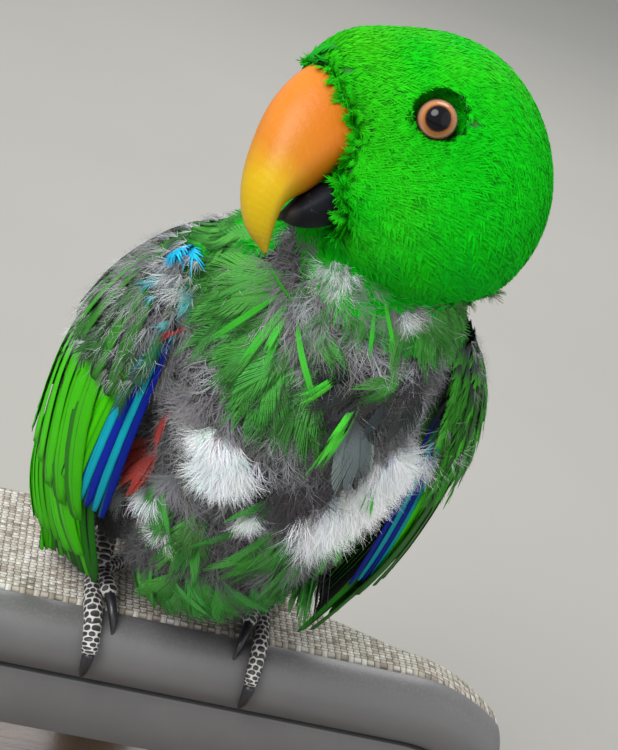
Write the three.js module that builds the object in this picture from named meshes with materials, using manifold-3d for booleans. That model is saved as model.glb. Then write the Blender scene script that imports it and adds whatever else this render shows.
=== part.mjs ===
// Life-size still model of a male eclectus parrot, gripping a cut length of padded rail
// that a plain display stand holds up.
// Millimetres, +Z up. The bird faces -Y, and its left side is +X. The origin is the middle
// of the underside of the stand's base. Bird and perch are drawn from the middle of the
// perch's top, and their group lifts them to PERCH_TOP.

import * as THREE from "three";
import { mergeVertices } from "three/addons/utils/BufferGeometryUtils.js";
import Module from "manifold-3d";

const wasm = await Module();
wasm.setup();

// Fit
const GAP = 0.3;
const VANE_THICK = 0.6;
const ROOT_DIP = 2.4;

// Stand and perch
const BASE = { length: 196, width: 156, thick: 12, corner: 16, bevel: 1.5 };
const ROD = { radius: 3.5, x: [-52, 52], y: -15 };
const RAIL = { from: -88, to: 118, roll: 12, rollY: -13.5, rollZ: -12, panel: 7.4, drop: 46, steps: 8 };
const PAD = { front: -12.5, thick: 22, bevel: 3 };
const PAD_BACK = [[-88, 47], [-40, 46], [0, 35], [40, 17], [80, 2], [118, -4]];
const BEND = { from: 84, drop: 13 };
const TAIL_CLEARANCE = 8;

// Trunk and neck, from the tail root to inside the head:
// centre x, y, z, then half width, depth to the back, depth to the belly
const TRUNK = [
  [2, 52, 14, 16, 8, 11],
  [2, 34, 36, 29, 19, 42],
  [2, 14, 60, 38, 29, 61],
  [3, -8, 87, 40, 33, 54],
  [4, -26, 115, 40, 31, 45],
  [7, -41, 143, 33, 27, 33],
  [11, -53, 170, 21, 20, 21],
];
const NECK_CUT = 0.76;
const TRUNK_SQUARE = 0.86;

// Head: middle, half width, its outline's reach every 30 degrees from the front over the crown,
// and the ways that the bill and the crown point
const HEAD = { x: 11, y: -57, z: 187, half: 27 };
const HEAD_REACH = [30, 38.8, 34.2, 31.2, 30.4, 30.2, 32.2, 36.2, 38, 35, 34.5, 32];
const HEAD_FORWARD = new THREE.Vector3(-0.957, -0.262, -0.127).normalize();
const HEAD_UP = new THREE.Vector3(-0.235, 0.43, 0.872);
const EYE = { radius: 5.6, forward: 8.5, up: 6.6, side: 20.6, lid: 5.2, lidTube: 1.0 };

// Bill, in the head's own forward and up: ridge, cutting edge and half width from base to tip
const UPPER_BILL = {
  ridge: [[26, 21], [33.6, 18.8], [41.8, 10.4], [47.2, -1.6], [49.2, -11.5], [48, -19.5], [43.4, -25.8]],
  edge: [[19, -4], [26, -6.2], [33, -10.6], [38.6, -13.6], [40.9, -17.5], [42, -21.8], [42.8, -25.4]],
  half: [10.5, 10.5, 9.8, 8.4, 6.2, 3.6, 0.8],
};
const LOWER_BILL = {
  ridge: [[19, -5], [26, -7.6], [31.5, -11], [35.6, -14], [38.4, -15.4]],
  edge: [[17, -14], [23, -17], [29, -19], [34.5, -19.2], [39, -17.6]],
  half: [7.6, 8.2, 7.8, 6.4, 3.4],
};
const NOSTRIL = { radius: 1.3, forward: 30.2, side: 4.2, up: 20.4 };

// Folded wings, both drawn on the left side, from the trunk's middle plane: leading and dorsal
// edges as Bezier curves, how far each bulges outwards, and how far both lean over. The right
// wing hangs further forward, with its tips over the foot.
const WING_MIDDLE = 3;
const WINGS = {
  right: {
    leading: [[39, -46, 137], [45, -57, 96], [42, -44, 45], [28, -14, 3]],
    dorsal: [[19, -17, 147], [30, 20, 120], [24, 46, 60], [36, 8, -4]],
    bulge: [12, 25, 32, 33, 23],
  },
  left: {
    leading: [[39, -46, 137], [45, -57, 96], [45, -38, 45], [41, -15, 0]],
    dorsal: [[19, -17, 147], [30, 20, 120], [24, 54, 66], [32, 38, 5]],
    bulge: [12, 25, 29, 28, 17],
  },
};
const WING_ARC = 78;
const BULGE_WAY = new THREE.Vector3(1, 0.12, 0);
const WING_LEAN = { degrees: 2.5, about: 100 };
// core: how far down the wing, how deep, and the height of its outer face along the wing
const WING_CORE = { deep: 22, wedge: 13.4 };
const CORE_HEIGHT = [[0, -7], [0.04, -2.4], [0.1, -0.9], [0.2, -1.8], [0.3, -4.9], [0.4, -4.9], [0.5, -8.4], [0.6, -12]];
const TIERS = [
  // first and last vane across the wing, roots and tips along it, width, height and tilt of each
  { name: "primary", count: 6, across: [0.05, 0.42], root: [0.42, 0.42], tip: [0.92, 1.0], width: 10.5, height: -10.4, tilt: 0.275 },
  { name: "secondary", count: 8, across: [0.2, 0.82], root: [0.36, 0.36], tip: [0.97, 0.88], width: 12, height: -6.9, tilt: 0.235 },
  { name: "tertial", count: 3, across: [0.87, 0.98], root: [0.2, 0.2], tip: [0.8, 0.7], width: 12, height: -3.6, tilt: 0.28 },
  { name: "greater_covert", count: 8, across: [0.2, 0.8], root: [0.22, 0.2], tip: [0.6, 0.54], width: 12, height: -3.4, tilt: 0.206 },
  { name: "primary_covert", count: 3, across: [0.03, 0.16], root: [0.24, 0.26], tip: [0.56, 0.62], width: 8, height: -4.4, tilt: 0.27 },
  { name: "median_covert", count: 6, across: [0.14, 0.9], root: [0.08, 0.07], tip: [0.38, 0.34], width: 13, height: -0.1, tilt: 0.17 },
];

// Tail
const TAIL = { root: [2, 48, 19], slope: 72, length: 112, vane: 17, pairs: 6, fan: 2.6, step: 0.95, core: 26 };
const TAIL_COVERTS = { count: 4, length: 38, width: 13 };

// Legs, for the left side
const THIGH = { top: [20, 8, 44], knee: [25, 6, 28], heel: [27.5, 8, 14.5], radii: [16, 13.5, 7] };
const TARSUS = { heel: [27.5, 9, 17], pad: [28, 0, 6.2], radii: [4.2, 4.6] };
const TOES = [
  {
    name: "outer_front", radius: 3.5, tip: 2.9,
    path: [[28.5, 1, 6], [28.4, -9, 4.6], [27.4, -19, 3.1], [26.4, -26.2, -2.2], [26, -28.9, -7.6]],
    claw: { length: 13.5, way: [0.02, -0.2, -0.98], bend: [-0.1, 1, 0], arc: 0.8, radius: 2.3 },
  },
  {
    name: "inner_front", radius: 3.3, tip: 3.1,
    path: [[26, 0, 6.2], [24.4, -6, 6.6], [23, -11.5, 6.4]],
    claw: { length: 14, way: [-0.22, -0.96, 0.12], bend: [-0.1, 0, -1], arc: 1.35, radius: 2.3 },
  },
  {
    name: "inner_rear", radius: 3.2, tip: 2.7,
    path: [[26, 2, 6], [20.5, 10, 4.4], [16, 17, 3.6]],
    claw: { length: 10, way: [-0.3, 0.95, 0], bend: [0, 0, -1], arc: 0.5, radius: 1.9 },
  },
  {
    name: "outer_rear", radius: 3.3, tip: 2.8,
    path: [[30, 2, 6], [35, 12, 4.5], [38.5, 22, 3.7]],
    claw: { length: 11, way: [0.2, 0.97, 0], bend: [0, 0, -1], arc: 0.45, radius: 1.9 },
  },
];

const COLOURS = {
  green: [0x1fa81c, 0.75, 0], wing: [0x239a20, 0.6, 0], tail: [0x1c7a3a, 0.6, 0], down: [0x8f8a8c, 0.95, 0],
  bill: [0xf08a1c, 0.35, 0], lower_bill: [0x17181c, 0.4, 0], eye: [0x140a06, 0.1, 0],
  foot: [0x6e6a66, 0.8, 0], claw: [0x1b1b1d, 0.35, 0],
  rail: [0x77706a, 0.5, 0.3], pad: [0xcfc8bb, 0.95, 0], rod: [0xb9bcc0, 0.3, 1], base: [0x2c2019, 0.45, 0],
};

const vec = (p) => new THREE.Vector3(...p);
const mix = THREE.MathUtils.lerp;
const clamp01 = (t) => Math.min(1, Math.max(0, t));

// Solids

// A closed three.js geometry as a solid, turned the right way out.
function solid(geometry) {
  const plain = new THREE.BufferGeometry().setAttribute("position", geometry.attributes.position.clone());
  if (geometry.index) plain.setIndex(geometry.index.clone());
  const merged = mergeVertices(plain, 1e-4);
  const whole = (triVerts) =>
    new wasm.Manifold(new wasm.Mesh({ numProp: 3, vertProperties: merged.attributes.position.array, triVerts }));
  const made = whole(new Uint32Array(merged.index.array));
  if (made.volume() >= 0) return made;
  return whole(new Uint32Array(merged.index.array).reverse());
}

function geometryOf(made) {
  const mesh = made.getMesh();
  return new THREE.BufferGeometry()
    .setAttribute("position", new THREE.BufferAttribute(mesh.vertProperties, 3))
    .setIndex(new THREE.BufferAttribute(mesh.triVerts, 1));
}

const join = (solids) => solids.reduce((a, b) => a.add(b));
const cutAll = (made, cutters) => cutters.reduce((a, b) => a.subtract(b), made);

// The largest closed surface of a solid: loose scraps go, and a sealed hollow is filled.
const largest = (made) => made.decompose().reduce((a, b) => (b.volume() > a.volume() ? b : a));

// Values at evenly spaced knots, read smoothly at t from 0 to 1.
function smoothKnots(rows) {
  const curves = rows[0].map(
    (_, k) => new THREE.CatmullRomCurve3(rows.map((r, i) => new THREE.Vector3(i / (rows.length - 1), r[k], 0))),
  );
  return (t) => curves.map((c) => c.getPoint(clamp01(t)).y);
}

// A skin over rings: ringAt(t) gives centre, side, up and down vectors. A sphere's rows become
// the rings, and its poles close both ends. square below 1 makes the rings fuller.
function loft(ringAt, around, along, square = 1) {
  const g = new THREE.SphereGeometry(1, around, along);
  const pos = g.attributes.position;
  for (let j = 0; j <= along; j++) {
    const t = clamp01((j - 1) / (along - 2));
    const { centre, side, up, down } = ringAt(t);
    const size = j === 0 || j === along ? 0 : 1;
    for (let i = 0; i <= around; i++) {
      const a = (2 * Math.PI * (i % around)) / around;
      const rise = Math.cos(a);
      const over = Math.sin(a);
      const p = centre
        .clone()
        .addScaledVector(side, size * Math.sign(over) * Math.abs(over) ** square)
        .addScaledVector(rise >= 0 ? up : down, size * Math.abs(rise) ** square);
      pos.setXYZ(j * (around + 1) + i, p.x, p.y, p.z);
    }
  }
  return solid(g);
}

// A round limb along points, with a radius at each and rounded ends.
function limb(points, radii, around, along, flat = 1) {
  const curve = new THREE.CatmullRomCurve3(points.map(vec));
  const radiusAt = smoothKnots(radii.map((r) => [r]));
  const reach = curve.getLength();
  return loft(
    (t) => {
      const r = radiusAt(t)[0];
      const near = Math.min(t, 1 - t) * reach;
      const round = near >= r ? 1 : Math.sqrt(clamp01(1 - (1 - near / r) ** 2)) || 0.12;
      const way = curve.getTangent(t);
      const side = new THREE.Vector3(1, 0, 0).cross(way).normalize().cross(way).normalize();
      const up = side.clone().cross(way).normalize();
      side.multiplyScalar(r * Math.max(round, 0.12));
      up.multiplyScalar(r * flat * Math.max(round, 0.12));
      return { centre: curve.getPoint(t), side, up, down: up.clone().negate() };
    },
    around,
    along,
  );
}

// A thin plate over a grid: at(u, v) gives its middle, normal and thickness. Both faces are
// split alike, and a rim closes them.
function plate(at, long, wide) {
  const plane = new THREE.PlaneGeometry(1, 1, wide, long);
  const row = wide + 1;
  const count = row * (long + 1);
  const points = [];
  for (const face of [0.5, -0.5])
    for (let j = 0; j <= long; j++)
      for (let i = 0; i <= wide; i++) {
        const { middle, normal, thick } = at(j / long, i / wide);
        points.push(middle.clone().addScaledVector(normal, face * thick));
      }
  const faces = [...plane.index.array];
  for (let k = 0; k < plane.index.count; k += 3) {
    const [a, b, c] = plane.index.array.slice(k, k + 3);
    faces.push(a + count, c + count, b + count);
  }
  const rim = [];
  for (let i = 0; i < wide; i++) rim.push([i + 1, i], [long * row + i, long * row + i + 1]);
  for (let j = 0; j < long; j++) rim.push([j * row, (j + 1) * row], [(j + 1) * row + wide, j * row + wide]);
  for (const [a, b] of rim) faces.push(b, a, a + count, b, a + count, b + count);
  const g = new THREE.BufferGeometry().setFromPoints(points);
  g.setIndex(faces);
  return solid(g);
}

// Shares of a vane's full width, from root to tip
const FLIGHT_OUTLINE = [0.45, 0.9, 1, 1, 0.88, 0.34];
const COVERT_OUTLINE = [0.6, 1, 1, 0.84, 0.3];
const shareAlong = (outline, t) => {
  const x = t * (outline.length - 1);
  const i = Math.min(Math.floor(x), outline.length - 2);
  return mix(outline[i], outline[i + 1], x - i);
};

// A feather's vane along lineAt(t), which gives its point and the normal of what it lies on.
// tilt lifts one edge of the vane over its neighbour, as roof tiles lie.
function vane(lineAt, width, outline, tilt) {
  const STEP = 0.01;
  return plate(
    (t, v) => {
      const { point, normal } = lineAt(t);
      const way = lineAt(Math.min(t + STEP, 1)).point.sub(lineAt(Math.max(t - STEP, 0)).point).normalize();
      const across = normal.clone().cross(way).normalize();
      const out = way.clone().cross(across).normalize();
      const reach = (v - 0.5) * width * shareAlong(outline, t);
      const middle = point.addScaledVector(across, reach).addScaledVector(out, reach * tilt);
      return { middle, normal: out, thick: VANE_THICK };
    },
    outline.length - 1,
    1,
  );
}

// Trunk, neck and head

const trunkAt = smoothKnots(TRUNK);

function trunkRing(t) {
  const [x, y, z, half, back, belly] = trunkAt(t);
  const a = trunkAt(Math.max(t - 0.02, 0));
  const b = trunkAt(Math.min(t + 0.02, 1));
  const way = new THREE.Vector3(b[0] - a[0], b[1] - a[1], b[2] - a[2]).normalize();
  const side = new THREE.Vector3(1, 0, 0).addScaledVector(way, -way.x).normalize();
  const up = way.clone().cross(side).normalize();
  return { centre: new THREE.Vector3(x, y, z), way, side, up, half, back, belly };
}

function trunkLoft(grow, around, along) {
  return loft(
    (t) => {
      const r = trunkRing(t);
      return {
        centre: r.centre,
        side: r.side.multiplyScalar(r.half + grow),
        up: r.up.clone().multiplyScalar(r.back + grow),
        down: r.up.clone().multiplyScalar(-(r.belly + grow)),
      };
    },
    around,
    along,
    TRUNK_SQUARE,
  );
}

// A big block on the near side of the trunk's ring at t, moved along by a shift.
function trunkBlock(t, shift, towardsNeck) {
  const SIZE = 400;
  const { centre, way } = trunkRing(t);
  const g = new THREE.BoxGeometry(SIZE, SIZE, SIZE);
  const turn = new THREE.Quaternion().setFromUnitVectors(new THREE.Vector3(0, 0, 1), way);
  g.applyQuaternion(turn);
  const middle = centre.addScaledVector(way, shift + (towardsNeck ? SIZE / 2 : -SIZE / 2));
  return solid(g.translate(middle.x, middle.y, middle.z));
}

const headUp = HEAD_UP.clone().addScaledVector(HEAD_FORWARD, -HEAD_UP.dot(HEAD_FORWARD)).normalize();
const headSide = headUp.clone().cross(HEAD_FORWARD).normalize();
const headAt = (forward, side, up) =>
  new THREE.Vector3(HEAD.x, HEAD.y, HEAD.z)
    .addScaledVector(HEAD_FORWARD, forward)
    .addScaledVector(headSide, side)
    .addScaledVector(headUp, up);

// The feathered head: a ball whose outline in profile follows HEAD_REACH.
const headReach = new THREE.CatmullRomCurve3(HEAD_REACH.map((r, i) => new THREE.Vector3(i, r, 0)), true);

function headBall(grow) {
  const g = new THREE.SphereGeometry(1, 22, 15);
  const pos = g.attributes.position;
  for (let i = 0; i < pos.count; i++) {
    const [f, u, s] = [pos.getX(i), pos.getY(i), pos.getZ(i)];
    const turn = (Math.atan2(u, f) / (2 * Math.PI) + 1) % 1;
    const share = Math.hypot(f, u) ** 0.88;
    const reach = share * (headReach.getPoint(turn).y + grow);
    const angle = turn * 2 * Math.PI;
    const face = 1 - 0.16 * Math.max(0, f);
    const p = headAt(reach * Math.cos(angle), s * (HEAD.half * face + grow), reach * Math.sin(angle));
    pos.setXYZ(i, p.x, p.y, p.z);
  }
  return solid(g);
}

// A ball in the head's own frame, for an eye or a nostril.
function headBead(radius, forward, side, up, around, rows) {
  const at = headAt(forward, side, up);
  return solid(new THREE.SphereGeometry(radius, around, rows).translate(at.x, at.y, at.z));
}

// The raised ring of skin round an eye.
function lidRing(k) {
  const out = headSide.clone().multiplyScalar(k).addScaledVector(HEAD_FORWARD, 0.3).addScaledVector(headUp, 0.12);
  const g = new THREE.TorusGeometry(EYE.lid, EYE.lidTube, 5, 14);
  g.applyQuaternion(new THREE.Quaternion().setFromUnitVectors(new THREE.Vector3(0, 0, 1), out.clone().normalize()));
  const at = headAt(EYE.forward, k * EYE.side, EYE.up).addScaledVector(out.normalize(), EYE.radius * 0.55);
  return solid(g.translate(at.x, at.y, at.z));
}

// A half of the bill between its ridge and its cutting edge.
function billHalf(form, grow, upper) {
  const ridgeAt = smoothKnots(form.ridge);
  const edgeAt = smoothKnots(form.edge);
  const halfAt = smoothKnots(form.half.map((h) => [h]));
  return loft(
    (t) => {
      const [rf, ru] = ridgeAt(t);
      const [ef, eu] = edgeAt(t);
      const share = upper ? 0.36 : 0.6;
      const ridge = headAt(rf, 0, ru);
      const edge = headAt(ef, 0, eu);
      const centre = edge.clone().lerp(ridge, share);
      const up = ridge.sub(centre);
      const down = edge.sub(centre);
      up.setLength(up.length() + grow);
      down.setLength(down.length() + grow);
      return { centre, up, down, side: headSide.clone().multiplyScalar(halfAt(t)[0] + grow) };
    },
    14,
    11,
  );
}

// Wings

const halfArc = THREE.MathUtils.degToRad(WING_ARC);

// A wing's outer surface: u runs from shoulder to tip, v from the leading to the dorsal edge
// round an arc, and the form gives the point at a height over it, and the normal.
function wingForm({ leading, dorsal, bulge }) {
  const STEP = 0.02;
  const leadingEdge = new THREE.CubicBezierCurve3(...leading.map(vec));
  const dorsalEdge = new THREE.CubicBezierCurve3(...dorsal.map(vec));
  const bulgeAt = smoothKnots(bulge.map((b) => [b]));
  const pointAt = (u, v) => {
    const turn = (2 * v - 1) * halfArc;
    const over = 0.5 + (0.5 * Math.sin(turn)) / Math.sin(halfArc);
    const rise = (Math.cos(turn) - Math.cos(halfArc)) / (1 - Math.cos(halfArc));
    const base = leadingEdge.getPoint(u).lerp(dorsalEdge.getPoint(u), over);
    return base.addScaledVector(BULGE_WAY, bulgeAt(u)[0] * rise);
  };
  return (u, v, height) => {
    const along = pointAt(Math.min(u + STEP, 1), v).sub(pointAt(Math.max(u - STEP, 0), v));
    const over = pointAt(u, Math.min(v + STEP, 1)).sub(pointAt(u, Math.max(v - STEP, 0)));
    const normal = over.cross(along).normalize();
    if (normal.x < 0) normal.negate();
    return { point: pointAt(u, v).addScaledVector(normal, height), normal };
  };
}

const coreHeight = (u) => {
  const i = Math.max(1, CORE_HEIGHT.findIndex(([x]) => x >= u - 1e-9));
  const [[x0, h0], [x1, h1]] = [CORE_HEIGHT[i - 1], CORE_HEIGHT[i]];
  return mix(h0, h1, (u - x0) / (x1 - x0));
};

// The wing's fleshy part: its outer face steps down under each tier of vanes, and its inner
// face reaches into the trunk, which is cut out of it later.
function wingCore(wingAt) {
  return plate(
    (t, v) => {
      const u = CORE_HEIGHT[Math.round(t * (CORE_HEIGHT.length - 1))][0];
      const { point, normal } = wingAt(u, v, 0);
      const outer = coreHeight(u);
      const inner = -mix(WING_CORE.deep, WING_CORE.wedge, clamp01((u - 0.3) / 0.3));
      return { middle: point.addScaledVector(normal, (outer + inner) / 2), normal, thick: outer - inner };
    },
    CORE_HEIGHT.length - 1,
    9,
  );
}

// One tier of a wing's vanes, seeded so that lengths differ a little. Towards the leading edge
// the tiers lie closer to the outer face.
function wingTier(wingAt, tier, seed) {
  const outline = tier.name.includes("covert") ? COVERT_OUTLINE : FLIGHT_OUTLINE;
  return Array.from({ length: tier.count }, (_, i) => {
    const k = i / (tier.count - 1);
    const vary = Math.sin(seed + i * 12.9898) * 0.012;
    const acrossAt = mix(tier.across[0], tier.across[1], k);
    const rootAt = mix(tier.root[0], tier.root[1], k);
    const tipAt = mix(tier.tip[0], tier.tip[1], k) + vary;
    const fade = mix(0.6, 1, clamp01(acrossAt / 0.25));
    const lineAt = (t) => {
      const dip = ROOT_DIP * Math.max(0, 1 - t / 0.25) ** 2;
      return wingAt(mix(rootAt, tipAt, t), acrossAt + 0.02 * t, tier.height * fade - dip);
    };
    return vane(lineAt, tier.width, outline, tier.tilt);
  });
}

function wholeWing(form) {
  const wingAt = wingForm(form);
  return join([wingCore(wingAt), ...TIERS.flatMap((tier, i) => wingTier(wingAt, tier, i))]);
}

function placeWing(made, k) {
  const flip = new THREE.Matrix4().makeScale(k, 1, 1).setPosition(WING_MIDDLE, 0, -WING_LEAN.about);
  const lean = new THREE.Matrix4().makeRotationY(THREE.MathUtils.degToRad(WING_LEAN.degrees));
  const back = new THREE.Matrix4().makeTranslation(0, 0, WING_LEAN.about);
  return solid(geometryOf(made).applyMatrix4(back.multiply(lean).multiply(flip)));
}

// Tail: pairs of vanes hang under one another from a small lobe, with coverts over the root.

const tailSlope = THREE.MathUtils.degToRad(TAIL.slope);
const tailWay = new THREE.Vector3(0, Math.cos(tailSlope), -Math.sin(tailSlope));
const tailOut = new THREE.Vector3(0, Math.sin(tailSlope), Math.cos(tailSlope));

function tailLine(lateral, fan, start, length, height, sag) {
  const way = tailWay.clone().applyAxisAngle(tailOut, fan);
  return (t) => ({
    point: vec(TAIL.root)
      .addScaledVector(tailWay, start)
      .addScaledVector(way, t * length)
      .add(new THREE.Vector3(lateral, 0, 0))
      .addScaledVector(tailOut, height + sag * t * t),
    normal: tailOut.clone(),
  });
}

function tailVanes() {
  const made = [];
  for (const k of [-1, 1])
    for (let i = 0; i < TAIL.pairs; i++) {
      const lateral = k * (i === 0 ? TAIL.vane / 2 + GAP : TAIL.vane / 2 + GAP + 1.2 * i);
      const fan = k * THREE.MathUtils.degToRad(TAIL.fan) * i;
      const length = TAIL.length - 8 - 1.4 * i * i * 0.5;
      made.push(vane(tailLine(lateral, fan, 8, length, -TAIL.step * i, -5), TAIL.vane, FLIGHT_OUTLINE, -0.02 * k));
    }
  for (const above of [1, -1])
    for (let i = 0; i < TAIL_COVERTS.count; i++) {
      const c = i - (TAIL_COVERTS.count - 1) / 2;
      const height = above > 0 ? 3.4 + (i % 2) : -8.6 - (i % 2);
      const fan = -THREE.MathUtils.degToRad(3) * c * above;
      const line = tailLine(c * 6.4, fan * above, 4, TAIL_COVERTS.length - 3 * Math.abs(c), height, -2 * above);
      made.push(vane(line, TAIL_COVERTS.width, COVERT_OUTLINE, 0));
    }
  return made;
}

function tailCore() {
  const end = vec(TAIL.root).addScaledVector(tailWay, TAIL.core).addScaledVector(tailOut, -2.6);
  const start = vec(TAIL.root).addScaledVector(tailWay, -12).addScaledVector(tailOut, -3);
  return limb([start.toArray(), start.clone().lerp(end, 0.5).toArray(), end.toArray()], [12, 12, 6], 10, 7, 0.6);
}

// Legs

const legPoint = ([x, y, z], k) => [k * x, y, z];

// A claw bends away from its toe's end in an arc.
function claw(toe, k) {
  const { length, way, bend, arc, radius } = toe.claw;
  const ahead = vec(legPoint(way, k)).normalize();
  const aside = vec(legPoint(bend, k)).addScaledVector(ahead, -vec(legPoint(bend, k)).dot(ahead)).normalize();
  const start = vec(legPoint(toe.path.at(-1), k)).addScaledVector(ahead, toe.tip * 0.5);
  const path = [0, 0.3, 0.65, 1].map((t) =>
    start
      .clone()
      .addScaledVector(ahead, (length * Math.sin(arc * t)) / arc)
      .addScaledVector(aside, (length * (1 - Math.cos(arc * t))) / arc)
      .toArray(),
  );
  return limb(path, [radius, radius * 0.9, radius * 0.6, 0.45], 8, 8);
}

function toeLimb(toe, k, grow = 0) {
  return limb(toe.path.map((p) => legPoint(p, k)), [toe.radius + grow, toe.radius + grow, toe.tip + grow], 8, 9);
}

// Stand and perch

function roundedPlate(length, width, corner) {
  const [x, y] = [length / 2, width / 2];
  const shape = new THREE.Shape();
  shape.moveTo(-x + corner, -y);
  shape.lineTo(x - corner, -y).absarc(x - corner, -y + corner, corner, -Math.PI / 2, 0, false);
  shape.lineTo(x, y - corner).absarc(x - corner, y - corner, corner, 0, Math.PI / 2, false);
  shape.lineTo(-x + corner, y).absarc(-x + corner, y - corner, corner, Math.PI / 2, Math.PI, false);
  shape.lineTo(-x, -y + corner).absarc(-x + corner, -y + corner, corner, Math.PI, 1.5 * Math.PI, false);
  return shape;
}

function baseSolid() {
  const shape = roundedPlate(BASE.length - 2 * BASE.bevel, BASE.width - 2 * BASE.bevel, BASE.corner);
  const g = new THREE.ExtrudeGeometry(shape, {
    depth: BASE.thick - 2 * BASE.bevel, bevelThickness: BASE.bevel, bevelSize: BASE.bevel, bevelSegments: 1, curveSegments: 4,
  });
  return solid(g.translate(0, 0, BASE.bevel));
}

// A bar with one outline of (y, z) all along x, then warped point by point.
function bar(shape, curveSegments, warp) {
  const length = RAIL.to - RAIL.from;
  const g = new THREE.ExtrudeGeometry(shape, { depth: length, steps: RAIL.steps, bevelEnabled: false, curveSegments });
  const turn = new THREE.Matrix4().makeBasis(
    new THREE.Vector3(0, 1, 0), new THREE.Vector3(0, 0, 1), new THREE.Vector3(1, 0, 0),
  );
  g.applyMatrix4(turn).translate(RAIL.from, 0, 0);
  const pos = g.attributes.position;
  for (let i = 0; i < pos.count; i++) {
    const [y, z] = warp(pos.getX(i), pos.getY(i), pos.getZ(i));
    pos.setXYZ(i, pos.getX(i), y, z);
  }
  return solid(g);
}

// The chair back's top runs level, then turns down at the bird's left.
const railDrop = (x) => BEND.drop * clamp01((x - BEND.from) / (RAIL.to - BEND.from)) ** 2;

// A rolled top edge in front, and the panel that hangs from it.
function railSolid() {
  const { roll, rollY, rollZ, panel, drop } = RAIL;
  const shape = new THREE.Shape();
  const back = PAD.front - GAP;
  shape.moveTo(back, rollZ + roll);
  shape.absarc(rollY, rollZ, roll, Math.PI / 2, 1.5 * Math.PI, false);
  shape.lineTo(back - panel, rollZ - roll - 0.4).lineTo(back - panel, -drop).lineTo(back, -drop);
  return bar(shape, 10, (x, y, z) => [y, z > -drop + 1 ? z - railDrop(x) : z]);
}

// The woven pad behind the rail, deeper at the bird's right.
function padBack(x) {
  const i = Math.max(1, PAD_BACK.findIndex(([at]) => at >= x));
  const [[x0, y0], [x1, y1]] = [PAD_BACK[i - 1], PAD_BACK[i]];
  return mix(y0, y1, (x - x0) / (x1 - x0));
}

function padSolid() {
  const { front, thick, bevel } = PAD;
  const shape = roundedPlate(40, thick, bevel);
  return bar(shape, 2, (x, y, z) => {
    const back = padBack(x);
    const along = y > 0 ? back - (20 - y) : front + (20 + y);
    return [along, z - thick / 2 - railDrop(x)];
  });
}

function rodSolid(x, top) {
  const length = top - BASE.thick - 2 * GAP;
  const g = new THREE.CylinderGeometry(ROD.radius, ROD.radius, length, 16).rotateX(Math.PI / 2);
  return solid(g.translate(x, ROD.y, BASE.thick + GAP + length / 2));
}

// Assembly

const tailReach = TAIL.length * Math.sin(tailSlope) - TAIL.root[2];
const PERCH_TOP = Math.ceil(BASE.thick + TAIL_CLEARANCE + tailReach + 4);

const group = new THREE.Group();
const birdGroup = new THREE.Group();
birdGroup.position.z = PERCH_TOP;
group.add(birdGroup);
const made = new Map();

function add(name, whole, colour, owner = birdGroup) {
  const kept = largest(whole);
  const [color, roughness, metalness] = COLOURS[colour];
  const mesh = new THREE.Mesh(geometryOf(kept), new THREE.MeshStandardMaterial({ color, roughness, metalness }));
  mesh.name = name;
  owner.add(mesh);
  made.set(name, kept);
}

const ball = headBall(0);
const grownBall = headBall(GAP);
const upperBill = billHalf(UPPER_BILL, 0, true);
const grownUpper = billHalf(UPPER_BILL, GAP, true);
const lowerBill = billHalf(LOWER_BILL, 0, false);
const grownLower = billHalf(LOWER_BILL, GAP, false);

const eyes = [-1, 1].map((k) => headBead(EYE.radius, EYE.forward, k * EYE.side, EYE.up, 12, 9));
const grownEyes = [-1, 1].map((k) => headBead(EYE.radius + GAP, EYE.forward, k * EYE.side, EYE.up, 12, 9));
const nostrils = [-1, 1].map((k) => headBead(NOSTRIL.radius, NOSTRIL.forward, k * NOSTRIL.side, NOSTRIL.up, 8, 6));

const head = cutAll(join([ball, lidRing(-1), lidRing(1)]), [grownUpper, grownLower, ...grownEyes]);
add("head", head, "green");
add("bill_upper", cutAll(upperBill, nostrils), "bill");
add("bill_lower", cutAll(lowerBill, [grownUpper]), "lower_bill");
["right", "left"].forEach((side, i) => add("eye_" + side, eyes[i], "eye"));

const trunk = trunkLoft(0, 28, 22);
const grownTrunk = trunkLoft(GAP, 28, 22);
const neck = cutAll(trunk, [trunkBlock(NECK_CUT, GAP / 2, false), grownBall]);
add("neck", neck.subtract(grownLower), "down");

const tailWhole = join([tailCore(), ...tailVanes()]);
const torso = cutAll(trunk, [trunkBlock(NECK_CUT, -GAP / 2, true), grownBall]);
add("torso", torso, "green");
add("tail", cutAll(tailWhole, [grownTrunk]), "tail");

const thighs = [-1, 1].map((k) =>
  limb([THIGH.top, THIGH.knee, THIGH.heel].map((p) => legPoint(p, k)), THIGH.radii, 14, 10),
);

["right", "left"].forEach((side, i) => {
  const k = i * 2 - 1;
  const tarsus = limb([TARSUS.heel, TARSUS.pad].map((p) => legPoint(p, k)), TARSUS.radii, 10, 6);
  const grownTarsus = limb([TARSUS.heel, TARSUS.pad].map((p) => legPoint(p, k)), TARSUS.radii.map((r) => r + GAP), 10, 6);
  const toes = TOES.map((toe) => toeLimb(toe, k));
  const grownToes = TOES.map((toe) => toeLimb(toe, k, GAP));
  add("wing_" + side, cutAll(placeWing(wholeWing(WINGS[side]), k), [grownTrunk, grownBall, thighs[i]]), "wing");
  add("thigh_" + side, cutAll(thighs[i], [grownTrunk, grownTarsus, ...grownToes]), "down");
  add("foot_" + side, join([tarsus, ...toes]), "foot");
  TOES.forEach((toe, n) => add("claw_" + side + "_" + toe.name, cutAll(claw(toe, k), [grownToes[n]]), "claw"));
});

add("perch_rail", railSolid(), "rail");
add("perch_pad", padSolid(), "pad");
["right", "left"].forEach((side, i) => add("stand_rod_" + side, rodSolid(ROD.x[i], PERCH_TOP - RAIL.drop), "rod", group));
add("stand_base", baseSolid(), "base", group);

export default group;
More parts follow.
